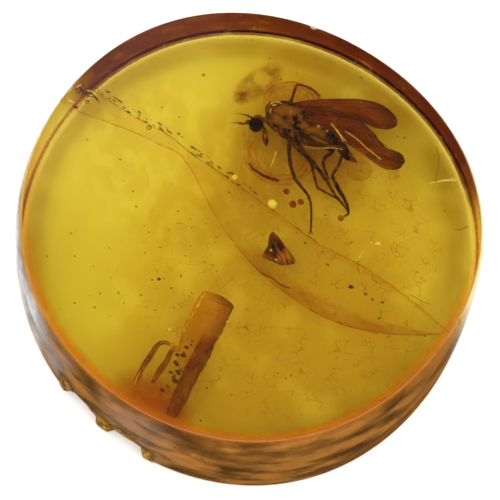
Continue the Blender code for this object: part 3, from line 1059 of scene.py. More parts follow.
    def build(self) -> bpy.types.Object:
        """The clear piece with its bubbles."""
        maker = Maker()
        mesh = maker.mesh
        worn = mesh.verts.layers.float.new("wall")
        crusted = mesh.verts.layers.float.new("crust")
        angles = [TAU * step / self.segments for step in range(self.segments)]
        rings = []
        for depth in self.depths():
            ring = [maker.point(self.wall(angle, depth)) for angle in angles]
            for angle, vertex in zip(angles, ring):
                vertex[worn] = ease(depth, 0.3, 1.0) * ease(self.thickness - depth, 0.0, 0.1)
                vertex[crusted] = self.crust(angle, self.thickness - depth)
            rings.append(ring)
        maker.skin(rings)
        mesh.faces.new(rings[0])
        mesh.faces.new(rings[-1][::-1])
        bmesh.ops.recalc_face_normals(mesh, faces=mesh.faces)
        for centre, radius in self.bubbles:
            half = [radius * share for share in self.bubble_shape]
            shape = Matrix.Translation(centre) @ Matrix.Diagonal((*half, 1))
            made = bmesh.ops.create_icosphere(mesh, subdivisions=4, radius=1.0, matrix=shape)["verts"]
            faces = list({face for vertex in made for face in vertex.link_faces})
            bmesh.ops.reverse_faces(mesh, faces=faces)
            for face in faces:
                face.smooth = True
        made = bpy.data.meshes.new("clear_slab")
        mesh.to_mesh(made)
        mesh.free()
        made.materials.append(ClearAmber("clear_amber").make())
        return placed("clear_slab", made)

    @staticmethod
    def turned(angle: float, stops: Sequence[tuple[float, float]]) -> float:
        """A value that changes smoothly round the slab between stops of an angle in degrees and a value."""
        degrees = math.degrees(angle) % 360
        for (start, first), (end, second) in zip(stops, stops[1:]):
            if start <= degrees <= end:
                return first + (second - first) * ease(degrees, start, end)
        return stops[-1][1]

    def coat(
        self, span: tuple[float, float], depths: Sequence[float], inset: Callable[[float], float], cover: Relief
    ) -> Maker:
        """A thin closed coat that follows the wall part of the way round.

        Args:
            span: The angles in degrees at which it starts and ends.
            depths: How far below the face each of its rows lies.
            inset: How far inside the wall it lies at a depth.
            cover: The value kept on each place, by the angle and the depth.

        Returns:
            The coat's shapes.
        """
        maker = Maker()
        steps = round((span[1] - span[0]) / self.coat_step)
        rings = []
        for step in range(steps + 1):
            angle = math.radians(span[0] + (span[1] - span[0]) * step / steps)
            outer, inner = (
                [
                    maker.point(self.wall(angle, depth, inset(depth) + more), cover=max(0.0, cover(angle, depth)))
                    for depth in depths
                ]
                for more in (0.0, self.coat_thickness)
            )
            rings.append([*outer, *inner[::-1]])
        maker.skin(rings)
        for ring in (rings[0], rings[-1]):
            maker.quad(*ring)
        return maker

    def rows_of(self, top: float, bottom: float, count: int) -> list[float]:
        """Evenly spaced depths."""
        return [top + (bottom - top) * step / count for step in range(count + 1)]

    def skin(self) -> bpy.types.Object:
        """The weathered layer just inside the far wall, which reddens and darkens what is seen by way of it: part
        weathering, part painted shade for the dark band along the far rim.
        """
        coat = self.coat(
            self.skin_span,
            self.rows_of(0.22, self.thickness - 0.03, 26),
            lambda depth: 0.05,
            lambda angle, depth: self.turned(angle, self.skin_cover) * ease(depth, 0.2, 0.6),
        )
        # Part weathering, part painted shade: a clear brown tint that darkens the band along the far rim.
        finish = Film("weathered_skin_and_painted_shade", (0.67, 0.43, 0.23), (0.3, 0.12, 0.04), 0.0, 1.6, (0.1, 0.5), (1, 1, 3))
        return coat.done("weathered_skin_and_painted_shade", finish.make())

    def rind(self) -> bpy.types.Object:
        """The dull orange and brown rind outside the near wall."""
        coat = self.coat(
            self.rind_span,
            self.rows_of(0.01, self.thickness - 0.02, 36),
            lambda depth: -0.03,
            lambda angle, depth: self.turned(angle, self.rind_cover) * ease(depth, 0.0, 0.2),
        )
        tint, veil = (0.62, 0.41, 0.2), (0.44, 0.19, 0.035)
        finish = Film("rind", tint, veil, 0.55, 2.6, (0.0, 0.5), (0.5, 0.5, 1.7), deepest=0.2, detail=3.0)
        return coat.done("rind", finish.make())

    def heaped(self, angle: float, depth: float) -> float:
        """How much rubble there is at a place on the wall."""
        degrees, height = math.degrees(angle) % 360, self.thickness - depth
        most = 0.0
        for middle, half_width, tall in self.heaps:
            near = 1 - abs(degrees - middle) / half_width
            most = max(most, ease(near, 0.0, 0.7) * (1 - ease(height / tall, 0.5, 1.0)))
        return most

    def rubble(self) -> bpy.types.Object:
        """The dark and yellow crumbling crust low on the near left wall."""
        rows = self.rows_of(1.4, self.thickness - 0.04, 40)
        coat = self.coat(self.rubble_span, rows, lambda depth: -0.12, self.heaped)
        tint, veil = (0.32, 0.16, 0.06), (0.52, 0.27, 0.05)
        finish = Film("rubble", tint, veil, 0.9, 0.45, (0.36, 0.5), (1, 1, 1.2), deepest=0.04)
        return coat.done("rubble", finish.make())

    def painted_wall_reflection(self) -> bpy.types.Object:
        """A painted reflection: the grey-pink sheen of the pale surroundings over the wall at the lower left."""
        coat = self.coat(
            self.reflection_span,
            self.rows_of(0.05, self.thickness - 0.05, 30),
            lambda depth: -0.075,
            lambda angle, depth: self.turned(angle, self.reflection_cover)
            * ease(depth, 0.0, 0.4)
            * (1 - ease(depth, 3.8, 4.6)),
        )
        # Painted reflection of the pale surroundings, laid on as a pale grey-pink film.
        tint, veil = (0.95, 0.93, 0.92), (0.76, 0.75, 0.75)
        finish = Film("painted_wall_reflection", tint, veil, 0.7, 1.6, (0.1, 0.6), (0.5, 0.5, 1.0), deepest=0.5)
        return coat.done("painted_wall_reflection", finish.make())

    def lit_rim(self) -> bpy.types.Object:
        """A painted highlight: the bright yellow strip along the right rim."""
        coat = self.coat(
            self.lit_span,
            self.rows_of(0.12, 0.92, 10),
            lambda depth: 0.06,
            lambda angle, depth: self.turned(angle, self.lit_cover) * (1 - ease(depth, 0.5, 0.9)),
        )
        # Painted highlight: a bright yellow film along the right rim.
        finish = Film("lit_rim", (1.0, 0.88, 0.4), (1.0, 0.86, 0.22), 0.85, 0.8, (0.0, 0.3), detail=1.0)
        return coat.done("lit_rim", finish.make())

    def glow(self) -> bpy.types.Object:
        """A painted orange glow just under the near rim."""
        coat = self.coat(
            self.glow_span,
            self.rows_of(0.1, 0.35, 12),
            lambda depth: 0.03 + 3.6 * (depth - 0.1),
            lambda angle, depth: self.turned(angle, self.glow_cover) * (1 - ease(depth, 0.13, 0.35)),
        )
        # Painted glow: an orange film standing in for the light caught under the near rim.
        finish = Film("painted_rim_glow", (1.0, 0.66, 0.1), (1.0, 0.42, 0.01), 0.26, 0.8, (0.0, 0.45), deepest=0.9)
        return coat.done("painted_rim_glow", finish.make())

    def dress(self) -> None:
        """Makes the slab's pieces."""
        keep(self.build(), Slot.AMBER, "amber_front", "amber_back")
        for piece in (self.skin(), self.rind(), self.rubble(), self.painted_wall_reflection(), self.lit_rim(), self.glow()):
            keep(piece, Slot.AMBER)


# The fly


@dataclass
class Fly:
    """A long-legged fly lying on its side, its head to the left and its back up the face."""

    voxel: float = 0.03
    body_height: float = 2.4
    head: tuple = ((0.56, 6.7, 2.4), (0.36, 0.4, 0.4))
    brow: tuple = ((0.06, 6.64, 2.5), (0.18, 0.15, 0.15))
    eye_radius: float = 0.35
    eye_place: tuple[float, float] = (0.47, 6.52)
    eye_spread: float = 0.22
    neck: tuple = (((0.6, 6.72, 2.4), 0.2), ((0.95, 6.8, 2.4), 0.17), ((1.4, 6.9, 2.4), 0.3))
    thorax: tuple = ((2.0, 6.97, 2.4), (1.0, 0.97, 0.55))
    coxae: tuple = ((2.38, 5.95, 2.4), (0.42, 0.42, 0.38))
    abdomen: tuple = (
        ((2.4, 6.7, 2.4), 0.36), ((3.11, 6.36, 2.4), 0.37), ((3.81, 6.13, 2.4), 0.35), ((4.44, 5.78, 2.4), 0.34),
        ((4.96, 5.31, 2.38), 0.31), ((5.37, 4.7, 2.36), 0.24), ((5.84, 4.35, 2.35), 0.06),
    )
    belts: int = 8
    proboscis: tuple = (
        ((0.66, 6.6, 2.4), 0.12), ((0.84, 6.25, 2.46), 0.13), ((0.87, 6.05, 2.48), 0.1), ((0.93, 5.75, 2.5), 0.15),
        ((0.97, 5.45, 2.5), 0.14), ((0.99, 5.28, 2.5), 0.06),
    )
    feelers: tuple = (
        (((0.02, 6.62, 2.5), 0.1), ((-0.14, 6.55, 2.55), 0.07), ((-0.25, 6.52, 2.6), 0.06)),
        (((-0.25, 6.52, 2.6), 0.07), ((-0.38, 6.53, 2.62), 0.07), ((-0.55, 6.56, 2.63), 0.04)),
        (((-0.52, 6.56, 2.63), 0.035), ((-0.7, 6.55, 2.64), 0.025), ((-0.88, 6.55, 2.65), 0.012)),
        (((0.32, 6.9, 2.3), 0.09), ((0.12, 7.06, 2.24), 0.06), ((-0.04, 7.16, 2.2), 0.045)),
        (((-0.04, 7.16, 2.2), 0.035), ((-0.34, 7.22, 2.17), 0.022), ((-0.66, 7.24, 2.15), 0.01)),
    )

    # Each painted highlight stroke's places and its radius at both ends
    glint_strokes: tuple = (
        (((1.28, 7.62, 2.86), (1.44, 7.73, 2.88), (1.58, 7.76, 2.88)), 0.03, 0.05),
        (((1.6, 7.76, 2.87), (1.74, 7.72, 2.88), (1.86, 7.64, 2.87)), 0.05, 0.02),
        (((1.36, 7.5, 2.9), (1.47, 7.56, 2.91), (1.58, 7.57, 2.91)), 0.02, 0.035),
        (((1.3, 7.36, 2.9), (1.25, 7.22, 2.9), (1.24, 7.1, 2.88)), 0.015, 0.02),
        (((3.76, 6.36, 2.74), (3.9, 6.31, 2.75)), 0.03, 0.03),
        (((4.24, 6.08, 2.75), (4.33, 6.03, 2.75)), 0.04, 0.02),
        (((4.81, 6.1, 2.76), (5.0, 5.74, 2.76), (5.14, 5.4, 2.76)), 0.035, 0.012),
    )
    # A painted highlight line along the near hind thigh, drawn with the lit lines.
    thigh: tuple = (((3.02, 5.06, 3.04), (3.72, 4.97, 3.05), (4.47, 4.98, 3.04), (5.05, 4.9, 3.01)), 0.016, 0.024)

    def body(self, finish: bpy.types.Material) -> bpy.types.Mesh:
        """Head, neck, thorax, hips and abdomen melted into one skin, in millimetres."""
        maker = Maker()

        def belted(share: float, angle: float) -> float:
            """The steps from ring to ring along the abdomen."""
            turn = (share * self.belts) % 1.0
            return 0.09 * (turn - 0.5) * ease(share, 0.0, 0.2)

        def plated(way: Vector) -> float:
            """The seams and dents between the thorax' plates."""
            seam = abs(math.sin(way.x * 4.1 + way.y * 2.2)) ** 0.5
            return 0.05 * seam + 0.035 * grain(way * 2, 0.7, 3) - 0.05

        maker.sweep(self.abdomen, 24, 14, 0.95, belted)
        maker.sweep(self.neck, 16, 4)
        maker.ball(*self.thorax, 5, plated)
        maker.ball((2.85, 7.25, 2.4), (0.38, 0.3, 0.34), 4)
        maker.ball((1.6, 7.42, 2.42), (0.62, 0.52, 0.46), 4, plated)
        maker.ball(*self.coxae, 4)
        maker.ball((2.15, 6.2, 2.62), (0.34, 0.42, 0.26), 4)
        maker.ball((2.0, 6.2, 2.2), (0.32, 0.42, 0.26), 4)
        maker.ball(*self.head, 4)
        maker.ball(*self.brow, 3)
        return merged("fly_body_skin", maker.bed("fly_body_skin"), self.voxel, 3, finish)

    def mouth_and_feelers(self, finish: bpy.types.Material) -> bpy.types.Object:
        """The two-part proboscis and both feelers with their bristle tips."""
        maker = Maker()
        maker.sweep(self.proboscis, 14, 5)
        maker.sweep((((0.9, 6.3, 2.52), 0.05), ((1.05, 6.0, 2.6), 0.04), ((1.1, 5.75, 2.62), 0.02)), 8, 4)
        for stations in self.feelers:
            maker.sweep(stations, 10, 4)
        return maker.done("fly_mouth_and_feelers", finish)

    def eyes(self, finish: bpy.types.Material) -> bpy.types.Object:
        """Both compound eyes, with a raised facet for each lens."""
        maker = Maker()
        for way in (-1, 1):
            maker.point((*self.eye_place, self.body_height + way * self.eye_spread))
        values = {"Radius": self.eye_radius, "Detail": 5, "Rise": 0.012}
        return facet_tree().grow("fly_eyes", maker.bed("fly_eyes"), finish, values)

    def glints(self, strand: Growth) -> bpy.types.Object:
        """Painted highlights on the thorax and the abdomen: pale strokes that stand in for glints of light there."""
        strands = Strands()
        for points, start, end in self.glint_strokes:
            strands.add(points, 1.5 * start, 1.5 * end, 5)
        # Painted highlight: a pale yellow-white film.
        glint_strokes = Film("painted_glint", (1.0, 0.97, 0.8), (1.0, 0.93, 0.62), 0.95, 0.12, (0.15, 0.4), masked=False, deepest=0.45)
        return strands.done("painted_glints", strand, glint_strokes.make())

    def dress(self, strand: Growth) -> bpy.types.Mesh:
        """Makes the body's pieces.

        Args:
            strand: The tree that makes threads.

        Returns:
            A copy of the body's skin in millimetres, for bristles to grow on.
        """
        shell, patches = (0.014, 0.004, 0.001), (0.66, 0.24, 0.012)
        skin = Chitin("fly_chitin", shell, patches, 0.5, (0.52, 0.88), tail=(2.4, 4.2)).make()
        dark = Chitin(
            "fly_dark_chitin", (0.01, 0.003, 0.001), (0.55, 0.2, 0.01), 0.18, (0.58, 0.8), (0.1, 0.5),
            (2500.0, 8000.0, 15000.0),
        ).make()
        eye = Horn("fly_eye", (0.008, 0.003, 0.001), (0.06, 0.02, 0.003), 0.2, (0.5, 0.9), 0.25).make()
        body = self.body(skin)
        bed = body.copy()
        keep(placed("fly_body_skin", body), Slot.FLY, "fly")
        keep(self.mouth_and_feelers(dark), Slot.FLY)
        keep(self.eyes(eye), Slot.FLY)
        keep(self.glints(strand), Slot.FLY)
        return bed


@dataclass
class Legs:
    """Six jointed legs, and the one that came off."""

    # For each leg: the places of its joints with the radius there. The tarsus' five joints follow the shin.
    legs: tuple = (
        (
            ((1.96, 6.15, 2.5), 0.17), ((2.26, 5.61, 2.62), 0.12), ((2.16, 4.79, 2.85), 0.11),
            ((2.22, 3.87, 3.0), 0.1), ((2.41, 3.16, 3.05), 0.09), ((3.06, 2.22, 3.1), 0.075),
            ((3.19, 1.8, 3.1), 0.065), ((3.2, 1.38, 3.1), 0.06), ((3.19, 0.98, 3.1), 0.055),
            ((3.16, 0.56, 3.1), 0.05), ((3.13, 0.14, 3.1), 0.045),
        ),
        (
            ((2.17, 5.95, 2.5), 0.19), ((2.59, 5.16, 2.6), 0.14), ((3.23, 4.47, 2.75), 0.12),
            ((3.68, 3.8, 2.85), 0.12), ((4.13, 3.09, 2.9), 0.1), ((4.3, 2.72, 2.9), 0.085),
            ((4.52, 2.28, 2.9), 0.075), ((4.78, 1.92, 2.88), 0.065), ((5.08, 1.54, 2.85), 0.05),
        ),
        (
            ((2.49, 5.98, 2.6), 0.19), ((2.94, 5.38, 2.75), 0.15), ((4.06, 5.15, 2.8), 0.18),
            ((5.13, 4.96, 2.88), 0.1), ((4.88, 4.21, 2.85), 0.085), ((4.42, 3.42, 2.75), 0.09),
            ((4.75, 2.69, 2.65), 0.12), ((5.02, 2.18, 2.6), 0.1), ((5.22, 1.62, 2.6), 0.07),
            ((5.22, 1.25, 2.6), 0.05), ((4.88, 1.05, 2.6), 0.04),
        ),
        (
            ((2.74, 6.15, 2.2), 0.16), ((3.7, 5.56, 2.0), 0.12), ((4.63, 5.06, 1.95), 0.09),
            ((4.2, 4.78, 1.9), 0.11), ((4.03, 4.48, 1.88), 0.09), ((4.1, 4.05, 1.86), 0.07),
            ((4.28, 3.58, 1.85), 0.05),
        ),
        (
            ((2.3, 6.08, 2.25), 0.16), ((2.77, 5.41, 2.1), 0.11), ((3.39, 4.41, 1.92), 0.08),
            ((3.66, 2.98, 1.88), 0.06), ((4.2, 2.64, 1.88), 0.05), ((4.71, 2.34, 1.88), 0.05),
        ),
        (
            ((2.25, 7.6, 2.3), 0.12), ((2.5, 8.15, 2.2), 0.07), ((2.79, 9.02, 2.05), 0.055),
            ((3.15, 8.98, 2.0), 0.05), ((3.46, 8.86, 1.98), 0.08), ((3.72, 8.68, 1.96), 0.05),
            ((3.94, 8.44, 1.95), 0.05),
        ),
    )
    loose: tuple = (
        ((0.02, 4.27, 2.4), 0.045), ((0.22, 3.91, 2.42), 0.06), ((0.76, 3.52, 2.45), 0.085),
        ((1.2, 3.33, 2.48), 0.08), ((1.57, 3.21, 2.5), 0.055),
    )
    claw: float = 0.16

    @staticmethod
    def limb(maker: Maker, joints: Sequence[Station]) -> None:
        """A row of joints: each part swells a little after its joint and narrows before the next."""
        places = [Vector(place) for place, _ in joints]
        for index in range(len(joints) - 1):
            start, end = places[index], places[index + 1]
            wide, narrow = joints[index][1], joints[index + 1][1]
            bow = Vector((0, 0, 0.02 * (end - start).length))
            maker.sweep(
                (
                    (start, wide * 0.72),
                    (start.lerp(end, 0.12) + bow, wide * 0.98),
                    (start.lerp(end, 0.45) + bow, wide * 0.85 + narrow * 0.15),
                    (start.lerp(end, 0.88), narrow * 0.98),
                    (end, narrow * 0.85),
                ),
                10,
                3,
            )

    def claws(self, maker: Maker, joints: Sequence[Station]) -> None:
        """Two hooks and a pad at a foot's end."""
        end = Vector(joints[-1][0])
        ahead = (end - Vector(joints[-2][0])).normalized()
        aside = ahead.cross(Vector((0, 0, 1))).normalized()
        size = self.claw
        for way in (-1, 1):
            hook = (
                (end, 0.026),
                (end + ahead * size * 0.5 + aside * way * size * 0.45, 0.022),
                (end + ahead * size + aside * way * size * 0.5, 0.014),
                (end + ahead * size * 1.15 + aside * way * size * 0.15, 0.006),
            )
            maker.sweep(hook, 6, 3)
        maker.ball(end + ahead * size * 0.35, (0.035, 0.035, 0.02), 2)

    def dress(self) -> bpy.types.Mesh:
        """Makes the legs.

        Returns:
            The legs' mesh in millimetres, for bristles to grow on.
        """
        shin = Chitin(
            "leg_chitin", (0.008, 0.003, 0.001), (0.36, 0.11, 0.006), 0.18, (0.52, 0.9), (0.03, 0.4),
            (3000.0, 9000.0, 20000.0),
        ).make()
        maker = Maker()
        for joints in self.legs:
            self.limb(maker, joints)
            self.claws(maker, joints)
        bed = maker.bed("fly_legs")
        whole = bed.copy()
        whole.materials.append(shin)
        keep(placed("fly_legs", whole), Slot.FLY)
        maker = Maker()
        maker.ball((4.8, 1.02, 2.6), (0.17, 0.17, 0.15), 4)
        pad = Chitin("claw_pad", (0.25, 0.07, 0.008), (0.75, 0.28, 0.03), 0.1, (0.4, 0.9), (0.1, 0.4))
        keep(maker.done("claw_pad", pad.make()), Slot.FLY)
        maker = Maker()
        self.limb(maker, self.loose)
        keep(maker.done("fallen_leg", shin), Slot.FLY, "loose_leg")
        return bed


@dataclass
class Wing:
    """One wing: a thin crinkled skin between a front and a hind edge, with raised veins."""

    name: str
    front: tuple
    hind: tuple
    # Each vein's places as the share along the wing and the share from front to hind edge
    veins: tuple
    plane: tuple[float, float, float]
    crinkle: float = 0.05
    thickness: float = 0.05
    count: int = 90
    across: int = 34

    def edge(self, points: tuple) -> list[Vector]:
        """An edge, evenly divided, at the wing's height."""
        height, rise, root = self.plane
        flat = evenly([value.to_3d() for value in spline(points, 8)], self.count)
        return [Vector((point.x, point.y, height + rise * (point.x - root))) for point in flat]

    def lift(self, along: float, over: float) -> float:
        """The crinkles' height at a place on the wing."""
        fold = math.sin(over * 17 + along * 3) * 0.35 + grain((along * 5, over * 2.2, self.plane[0]), 0.6, 3)
        return self.crinkle * fold * ease(along, 0.02, 0.4)

    def place(self, along: float, over: float, raised: float) -> Vector:
        """The point of the wing at those shares."""
        first, second = self.edge(self.front), self.edge(self.hind)
        index = min(max(round(along * (self.count - 1)), 0), self.count - 1)
        found = first[index].lerp(second[index], over)
        found.z += self.lift(along, over) + raised
        return found

    def build(self, finish: bpy.types.Material) -> bpy.types.Object:
        """The skin. It is darkest along the front edge and round the tip."""
        maker = Maker()
        maker.sheet(
            self.edge(self.front),
            self.edge(self.hind),
            self.across,
            self.thickness,
            self.lift,
            lambda along, over: (0.25 + 0.75 * ease(over, 0.0, 0.12)) * (1 - 0.5 * ease(along, 0.82, 0.95)),
        )
        return maker.done(self.name, finish)

    def vein(self, strands: Strands) -> None:
        """Adds the veins to the threads."""
        for points in self.veins:
            strands.add([self.place(*point, self.thickness * 0.6) for point in points], 0.02, 0.01, 5)


@dataclass
class Wings:
    """Both wings with their veins."""

    far: Wing = field(
        default_factory=lambda: Wing(
            "far_wing",
            (
                (2.43, 7.83), (2.92, 7.98), (3.58, 8.09), (4.29, 8.15), (5.25, 8.17), (6.07, 8.17), (6.88, 8.03),
                (7.55, 7.71), (7.99, 7.3), (8.18, 6.89), (8.12, 6.59),
            ),
            (
                (2.41, 7.35), (2.89, 7.24), (3.57, 7.16), (4.65, 7.08), (5.6, 6.97), (6.34, 6.72), (6.81, 6.51),
                (7.35, 6.4), (7.81, 6.41), (8.12, 6.59),
            ),
            (
                ((0.0, 0.3), (0.1, 0.1), (0.4, 0.05), (0.7, 0.05), (0.92, 0.06)),
                ((0.02, 0.35), (0.2, 0.25), (0.5, 0.22), (0.8, 0.22), (0.96, 0.3)),
                ((0.05, 0.5), (0.3, 0.45), (0.6, 0.48), (0.9, 0.55)), ((0.35, 0.46), (0.6, 0.62), (0.85, 0.8)),
                ((0.05, 0.7), (0.3, 0.75), (0.55, 0.92)), ((0.62, 0.22), (0.63, 0.48)),
            ),
            (2.15, -0.03, 2.3),
        )
    )
    near: Wing = field(
        default_factory=lambda: Wing(
            "near_wing",
            (
                (2.64, 7.69), (3.55, 7.68), (4.78, 7.41), (5.69, 7.04), (6.36, 6.49), (6.87, 5.91), (7.17, 5.4),
                (7.5, 5.04), (8.03, 4.85), (8.31, 4.61), (8.4, 4.26),
            ),
            (
                (2.62, 7.04), (3.52, 6.4), (4.6, 5.95), (5.15, 5.55), (5.6, 5.2), (6.15, 4.78), (6.66, 4.3),
                (7.1, 3.96), (7.63, 3.8), (8.11, 3.88), (8.4, 4.26),
            ),
            (
                ((0.0, 0.4), (0.1, 0.1), (0.4, 0.06), (0.7, 0.07), (0.95, 0.12)),
                ((0.03, 0.45), (0.25, 0.3), (0.5, 0.27), (0.75, 0.25), (0.92, 0.3)),
                ((0.05, 0.5), (0.3, 0.48), (0.6, 0.5), (0.85, 0.52), (0.95, 0.6)),
                ((0.3, 0.48), (0.5, 0.66), (0.75, 0.74), (0.92, 0.85)), ((0.05, 0.65), (0.25, 0.75), (0.45, 0.9)),
                ((0.55, 0.27), (0.57, 0.5)), ((0.66, 0.5), (0.67, 0.72)),
            ),
            (2.22, 0.09, 2.45),
            0.09,
        )
    )

    def dress(self, strand: Growth) -> None:
        """Makes both wings, and the veins of both as one piece."""
        skin = Membrane("wing_membrane").make()
        rib = Horn("wing_vein", (0.03, 0.007, 0.001), (0.38, 0.12, 0.012), 0.5, (0.55, 0.95), 0.35).make()
        strands = Strands()
        for wing in (self.far, self.near):
            keep(wing.build(skin), Slot.FLY)
            wing.vein(strands)
        keep(strands.done("wing_veins", strand, rib), Slot.FLY)


@dataclass
class Bristles:
    """The short hairs on the fly's body and legs."""

    legs_density: float = 90.0
    body_density: float = 22.0
    lean_way: Place = (0.85, -0.5, 0.0)

    def dress(self, body: bpy.types.Mesh, legs: bpy.types.Mesh) -> None:
        """Grows the hairs.

        Args:
            body: The body's mesh in millimetres.
            legs: The legs' mesh in millimetres.
        """
        tree = bristle_tree()
        dark = Horn("bristle", (0.008, 0.003, 0.001), (0.06, 0.02, 0.004), 0.2, (0.5, 0.9)).make()
        ahead = body.attributes.new("ahead", "FLOAT_VECTOR", "POINT")
        for value in ahead.data:
            value.vector = self.lean_way
        shared = {"Width": 0.008, "Seed": 7}
        on_legs = {"Density": self.legs_density, "Length": 0.11, "Lean": 1.6, **shared}
        on_body = {"Density": self.body_density, "Length": 0.16, "Lean": 1.1, **shared}
        keep(tree.grow("leg_bristles", legs, dark, on_legs), Slot.FLY)
        keep(tree.grow("body_bristles", body, dark, on_body), Slot.FLY)


# Plant matter


@dataclass
class BudScale:
    """A three-sided dark flake, ridged lengthwise, with a blunt top."""

    left: tuple = ((1.11, 0.28), (0.93, 0.0), (0.86, -0.5), (0.66, -0.84), (0.55, -1.14))
    right: tuple = ((1.17, 0.26), (1.4, 0.06), (1.72, -0.37), (2.0, -0.84), (2.28, -1.32), (2.2, -1.56))
    foot: tuple = ((0.55, -1.14), (1.1, -1.43), (1.65, -1.63), (2.2, -1.56))
    height: float = 2.35
    thickness: float = 0.34

    def dress(self) -> None:
        """Makes the flake."""
        count, spans = 44, 32
        left, right = (
            [Vector((p.x, p.y, self.height)) for p in evenly([v.to_3d() for v in spline(edge, 8)], count)]
            for edge in (self.left, self.right)
        )
        drop = spline(self.foot, 10)
        maker = Maker()
        layers = []
        for way in (-1, 1):
            rows = []
            for index in range(count):
                along = index / (count - 1)
                row = []
                for step in range(spans + 1):
                    over = step / spans
                    place = left[index].lerp(right[index], over)
                    low = drop[min(round(over * (len(drop) - 1)), len(drop) - 1)]
                    sag = ease(along, 0.55, 1.0)
                    place.y += (low.y - left[-1].lerp(right[-1], over).y) * sag
                    crown = math.sqrt(max(0.0, math.sin(math.pi * over))) * math.sqrt(min(1.0, (1 - along) * 4 + 0.05))
                    wave = 2 * grain((over * 3, along, 0), 0.5)
                    ridges = 0.07 * math.sin(over * 40 + wave) + 0.1 * grain(place, 0.25)
                    place.z += way * self.thickness / 2 * (crown * (0.85 + ridges) + 0.04)
                    row.append(maker.point(place, (0, 1, 0), 0.55 + 0.45 * ease(over + along * 0.4, 0.3, 0.8), along))
                rows.append(row)
            layers.append(rows)
        low_rows, high_rows = layers
        rings = [[*low, *high[::-1]] for low, high in zip(low_rows, high_rows)]
        maker.skin(rings)
        for end in (0, -1):
            low, high = low_rows[end], high_rows[end]
            for step in range(spans):
                maker.quad(low[step], low[step + 1], high[step + 1], high[step])
        tissue = Fibrous("bud_tissue", (0.01, 0.003, 0.001), (0.6, 0.19, 0.015), 0.5, 0.1, (0.7, 1.0), 0.02)
        keep(maker.done("ridged_bud_scale", tissue.make()), Slot.PLANT, "bud_scale")


@dataclass
class PlantStalk:
    """A broken hollow stem: a wide pale top, a dark strip down its right, splinters on its left."""

    def dress(self, strand: Growth) -> None:
        """Makes the stem with its strip and splinters, the crumbs and the lit edge."""
        maker = Maker()

        def fibrous(share: float, angle: float) -> float:
            """The stem's fine ridges."""
            ridges = 0.05 * math.sin(angle * 17 + 2 * grain((share * 3, 0, angle), 0.8))
            return ridges + 0.09 * grain((share * 4, math.cos(angle) * 2, math.sin(angle) * 2), 0.5, 4)

        stem = (
            ((-1.91, -3.64, 2.55), 0.9), ((-2.55, -4.92, 2.53), 0.93), ((-3.1, -6.03, 2.5), 0.84),
            ((-3.6, -7.05, 2.45), 0.58), ((-4.0, -7.9, 2.42), 0.32),
        )
        strip = (
            ((-2.3, -5.56, 2.42), 0.36), ((-2.75, -6.51, 2.42), 0.44), ((-3.29, -7.5, 2.4), 0.42),
            ((-3.73, -8.37, 2.38), 0.4), ((-4.17, -9.35, 2.35), 0.38), ((-4.55, -10.1, 2.32), 0.24),
        )
        splinters = (
            (
                ((-3.3, -5.8, 2.5), 0.2), ((-4.28, -6.13, 2.5), 0.12), ((-4.75, -5.98, 2.5), 0.12),
                ((-5.14, -6.19, 2.5), 0.13), ((-5.57, -6.85, 2.5), 0.14), ((-5.92, -7.4, 2.48), 0.14),
                ((-6.27, -8.06, 2.46), 0.1),
            ),
            (
                ((-3.5, -6.3, 2.36), 0.2), ((-4.28, -6.34, 2.32), 0.14), ((-4.65, -6.97, 2.3), 0.15),
                ((-5.0, -7.47, 2.3), 0.16), ((-5.38, -8.13, 2.3), 0.1),
            ),
        )

        def walled(share: float, angle: float) -> float:
            """How dense the stem looks: most so down its right and at its mouth."""
            right = ease(-math.cos(angle), -0.1, 0.95)
            mouth = 0.3 * (1 - ease(share, 0.0, 0.03)) * ease(-math.cos(angle), -0.9, 0.0)
            return (0.04 + (0.4 + 0.3 * ease(share, 0.2, 0.7)) * right + mouth) * (1 - ease(share, 0.6, 1.0))

        def stripped(share: float, angle: float) -> float:
            """How dense the strip looks: least so at its ends and edges."""
            sides = 0.5 + 0.35 * abs(math.cos(angle))
            return ease(share, 0.0, 0.3) * sides * (1 - ease(share, 0.85, 1.0))

        maker.sweep(stem, 64, 20, 0.6, fibrous, 0.3, walled)
        maker.sweep(strip, 32, 12, 0.6, fibrous, 0.7, stripped)
        for splinter in splinters:
            maker.sweep(splinter, 14, 6, 0.8, fibrous, 0.7, lambda share, angle: ease(share, 0.12, 0.5))
        tissue = Fibrous("stalk_tissue", (0.05, 0.012, 0.001), (0.62, 0.22, 0.01), -0.42, 0.09, (0.5, 1.05), 0.03, True)
        keep(maker.done("torn_stalk", tissue.make()), Slot.PLANT, "plant_stalk")
        self.crumbs()
        self.lit_edge(strand)

    def crumbs(self) -> None:
        """Brown crumbs of tissue between the splinters and the strip."""
        left = ((-3.6, -5.9, 2.6), (-4.1, -6.6, 2.5), (-4.6, -8.0, 2.5), (-5.2, -9.0, 2.4))
        right = ((-2.9, -5.9, 2.6), (-3.2, -6.6, 2.5), (-3.8, -8.2, 2.5), (-3.5, -9.9, 2.4))
        maker = Maker()
        maker.sheet(evenly(spline(left, 6), 24), evenly(spline(right, 6), 24), 8, 0.02)
        brown = Film("tissue_crumb", (0.6, 0.28, 0.06), (0.2, 0.06, 0.004), 0.6, 0.2, (0.1, 0.5), masked=False)
        values = {"Density": 6.0, "Size": 0.085, "Seed": 14, "Stretch": (1.5, 0.9, 0.5)}
        keep(speck_tree().grow("stalk_crumbs", maker.bed("stalk_crumbs"), brown.make(), values), Slot.PLANT)

    def lit_edge(self, strand: Growth) -> None:
        """The left edge of the stem, which catches the light."""
        strands = Strands()
        strands.add(((-2.62, -3.33, 2.9), (-3.0, -4.09, 2.9), (-3.42, -4.88, 2.9), (-3.78, -5.66, 2.9)), 0.12, 0.03)
        strands.add(((-6.05, -7.6, 2.6), (-6.22, -7.95, 2.6), (-6.33, -8.3, 2.6)), 0.05, 0.03)
        gold = Film("lit_edge", (1.0, 0.9, 0.4), (1.0, 0.55, 0.04), 0.75, 0.35, (0.3, 0.6), masked=False)
        keep(strands.done("lit_edge", strand, gold.make()), Slot.PLANT)
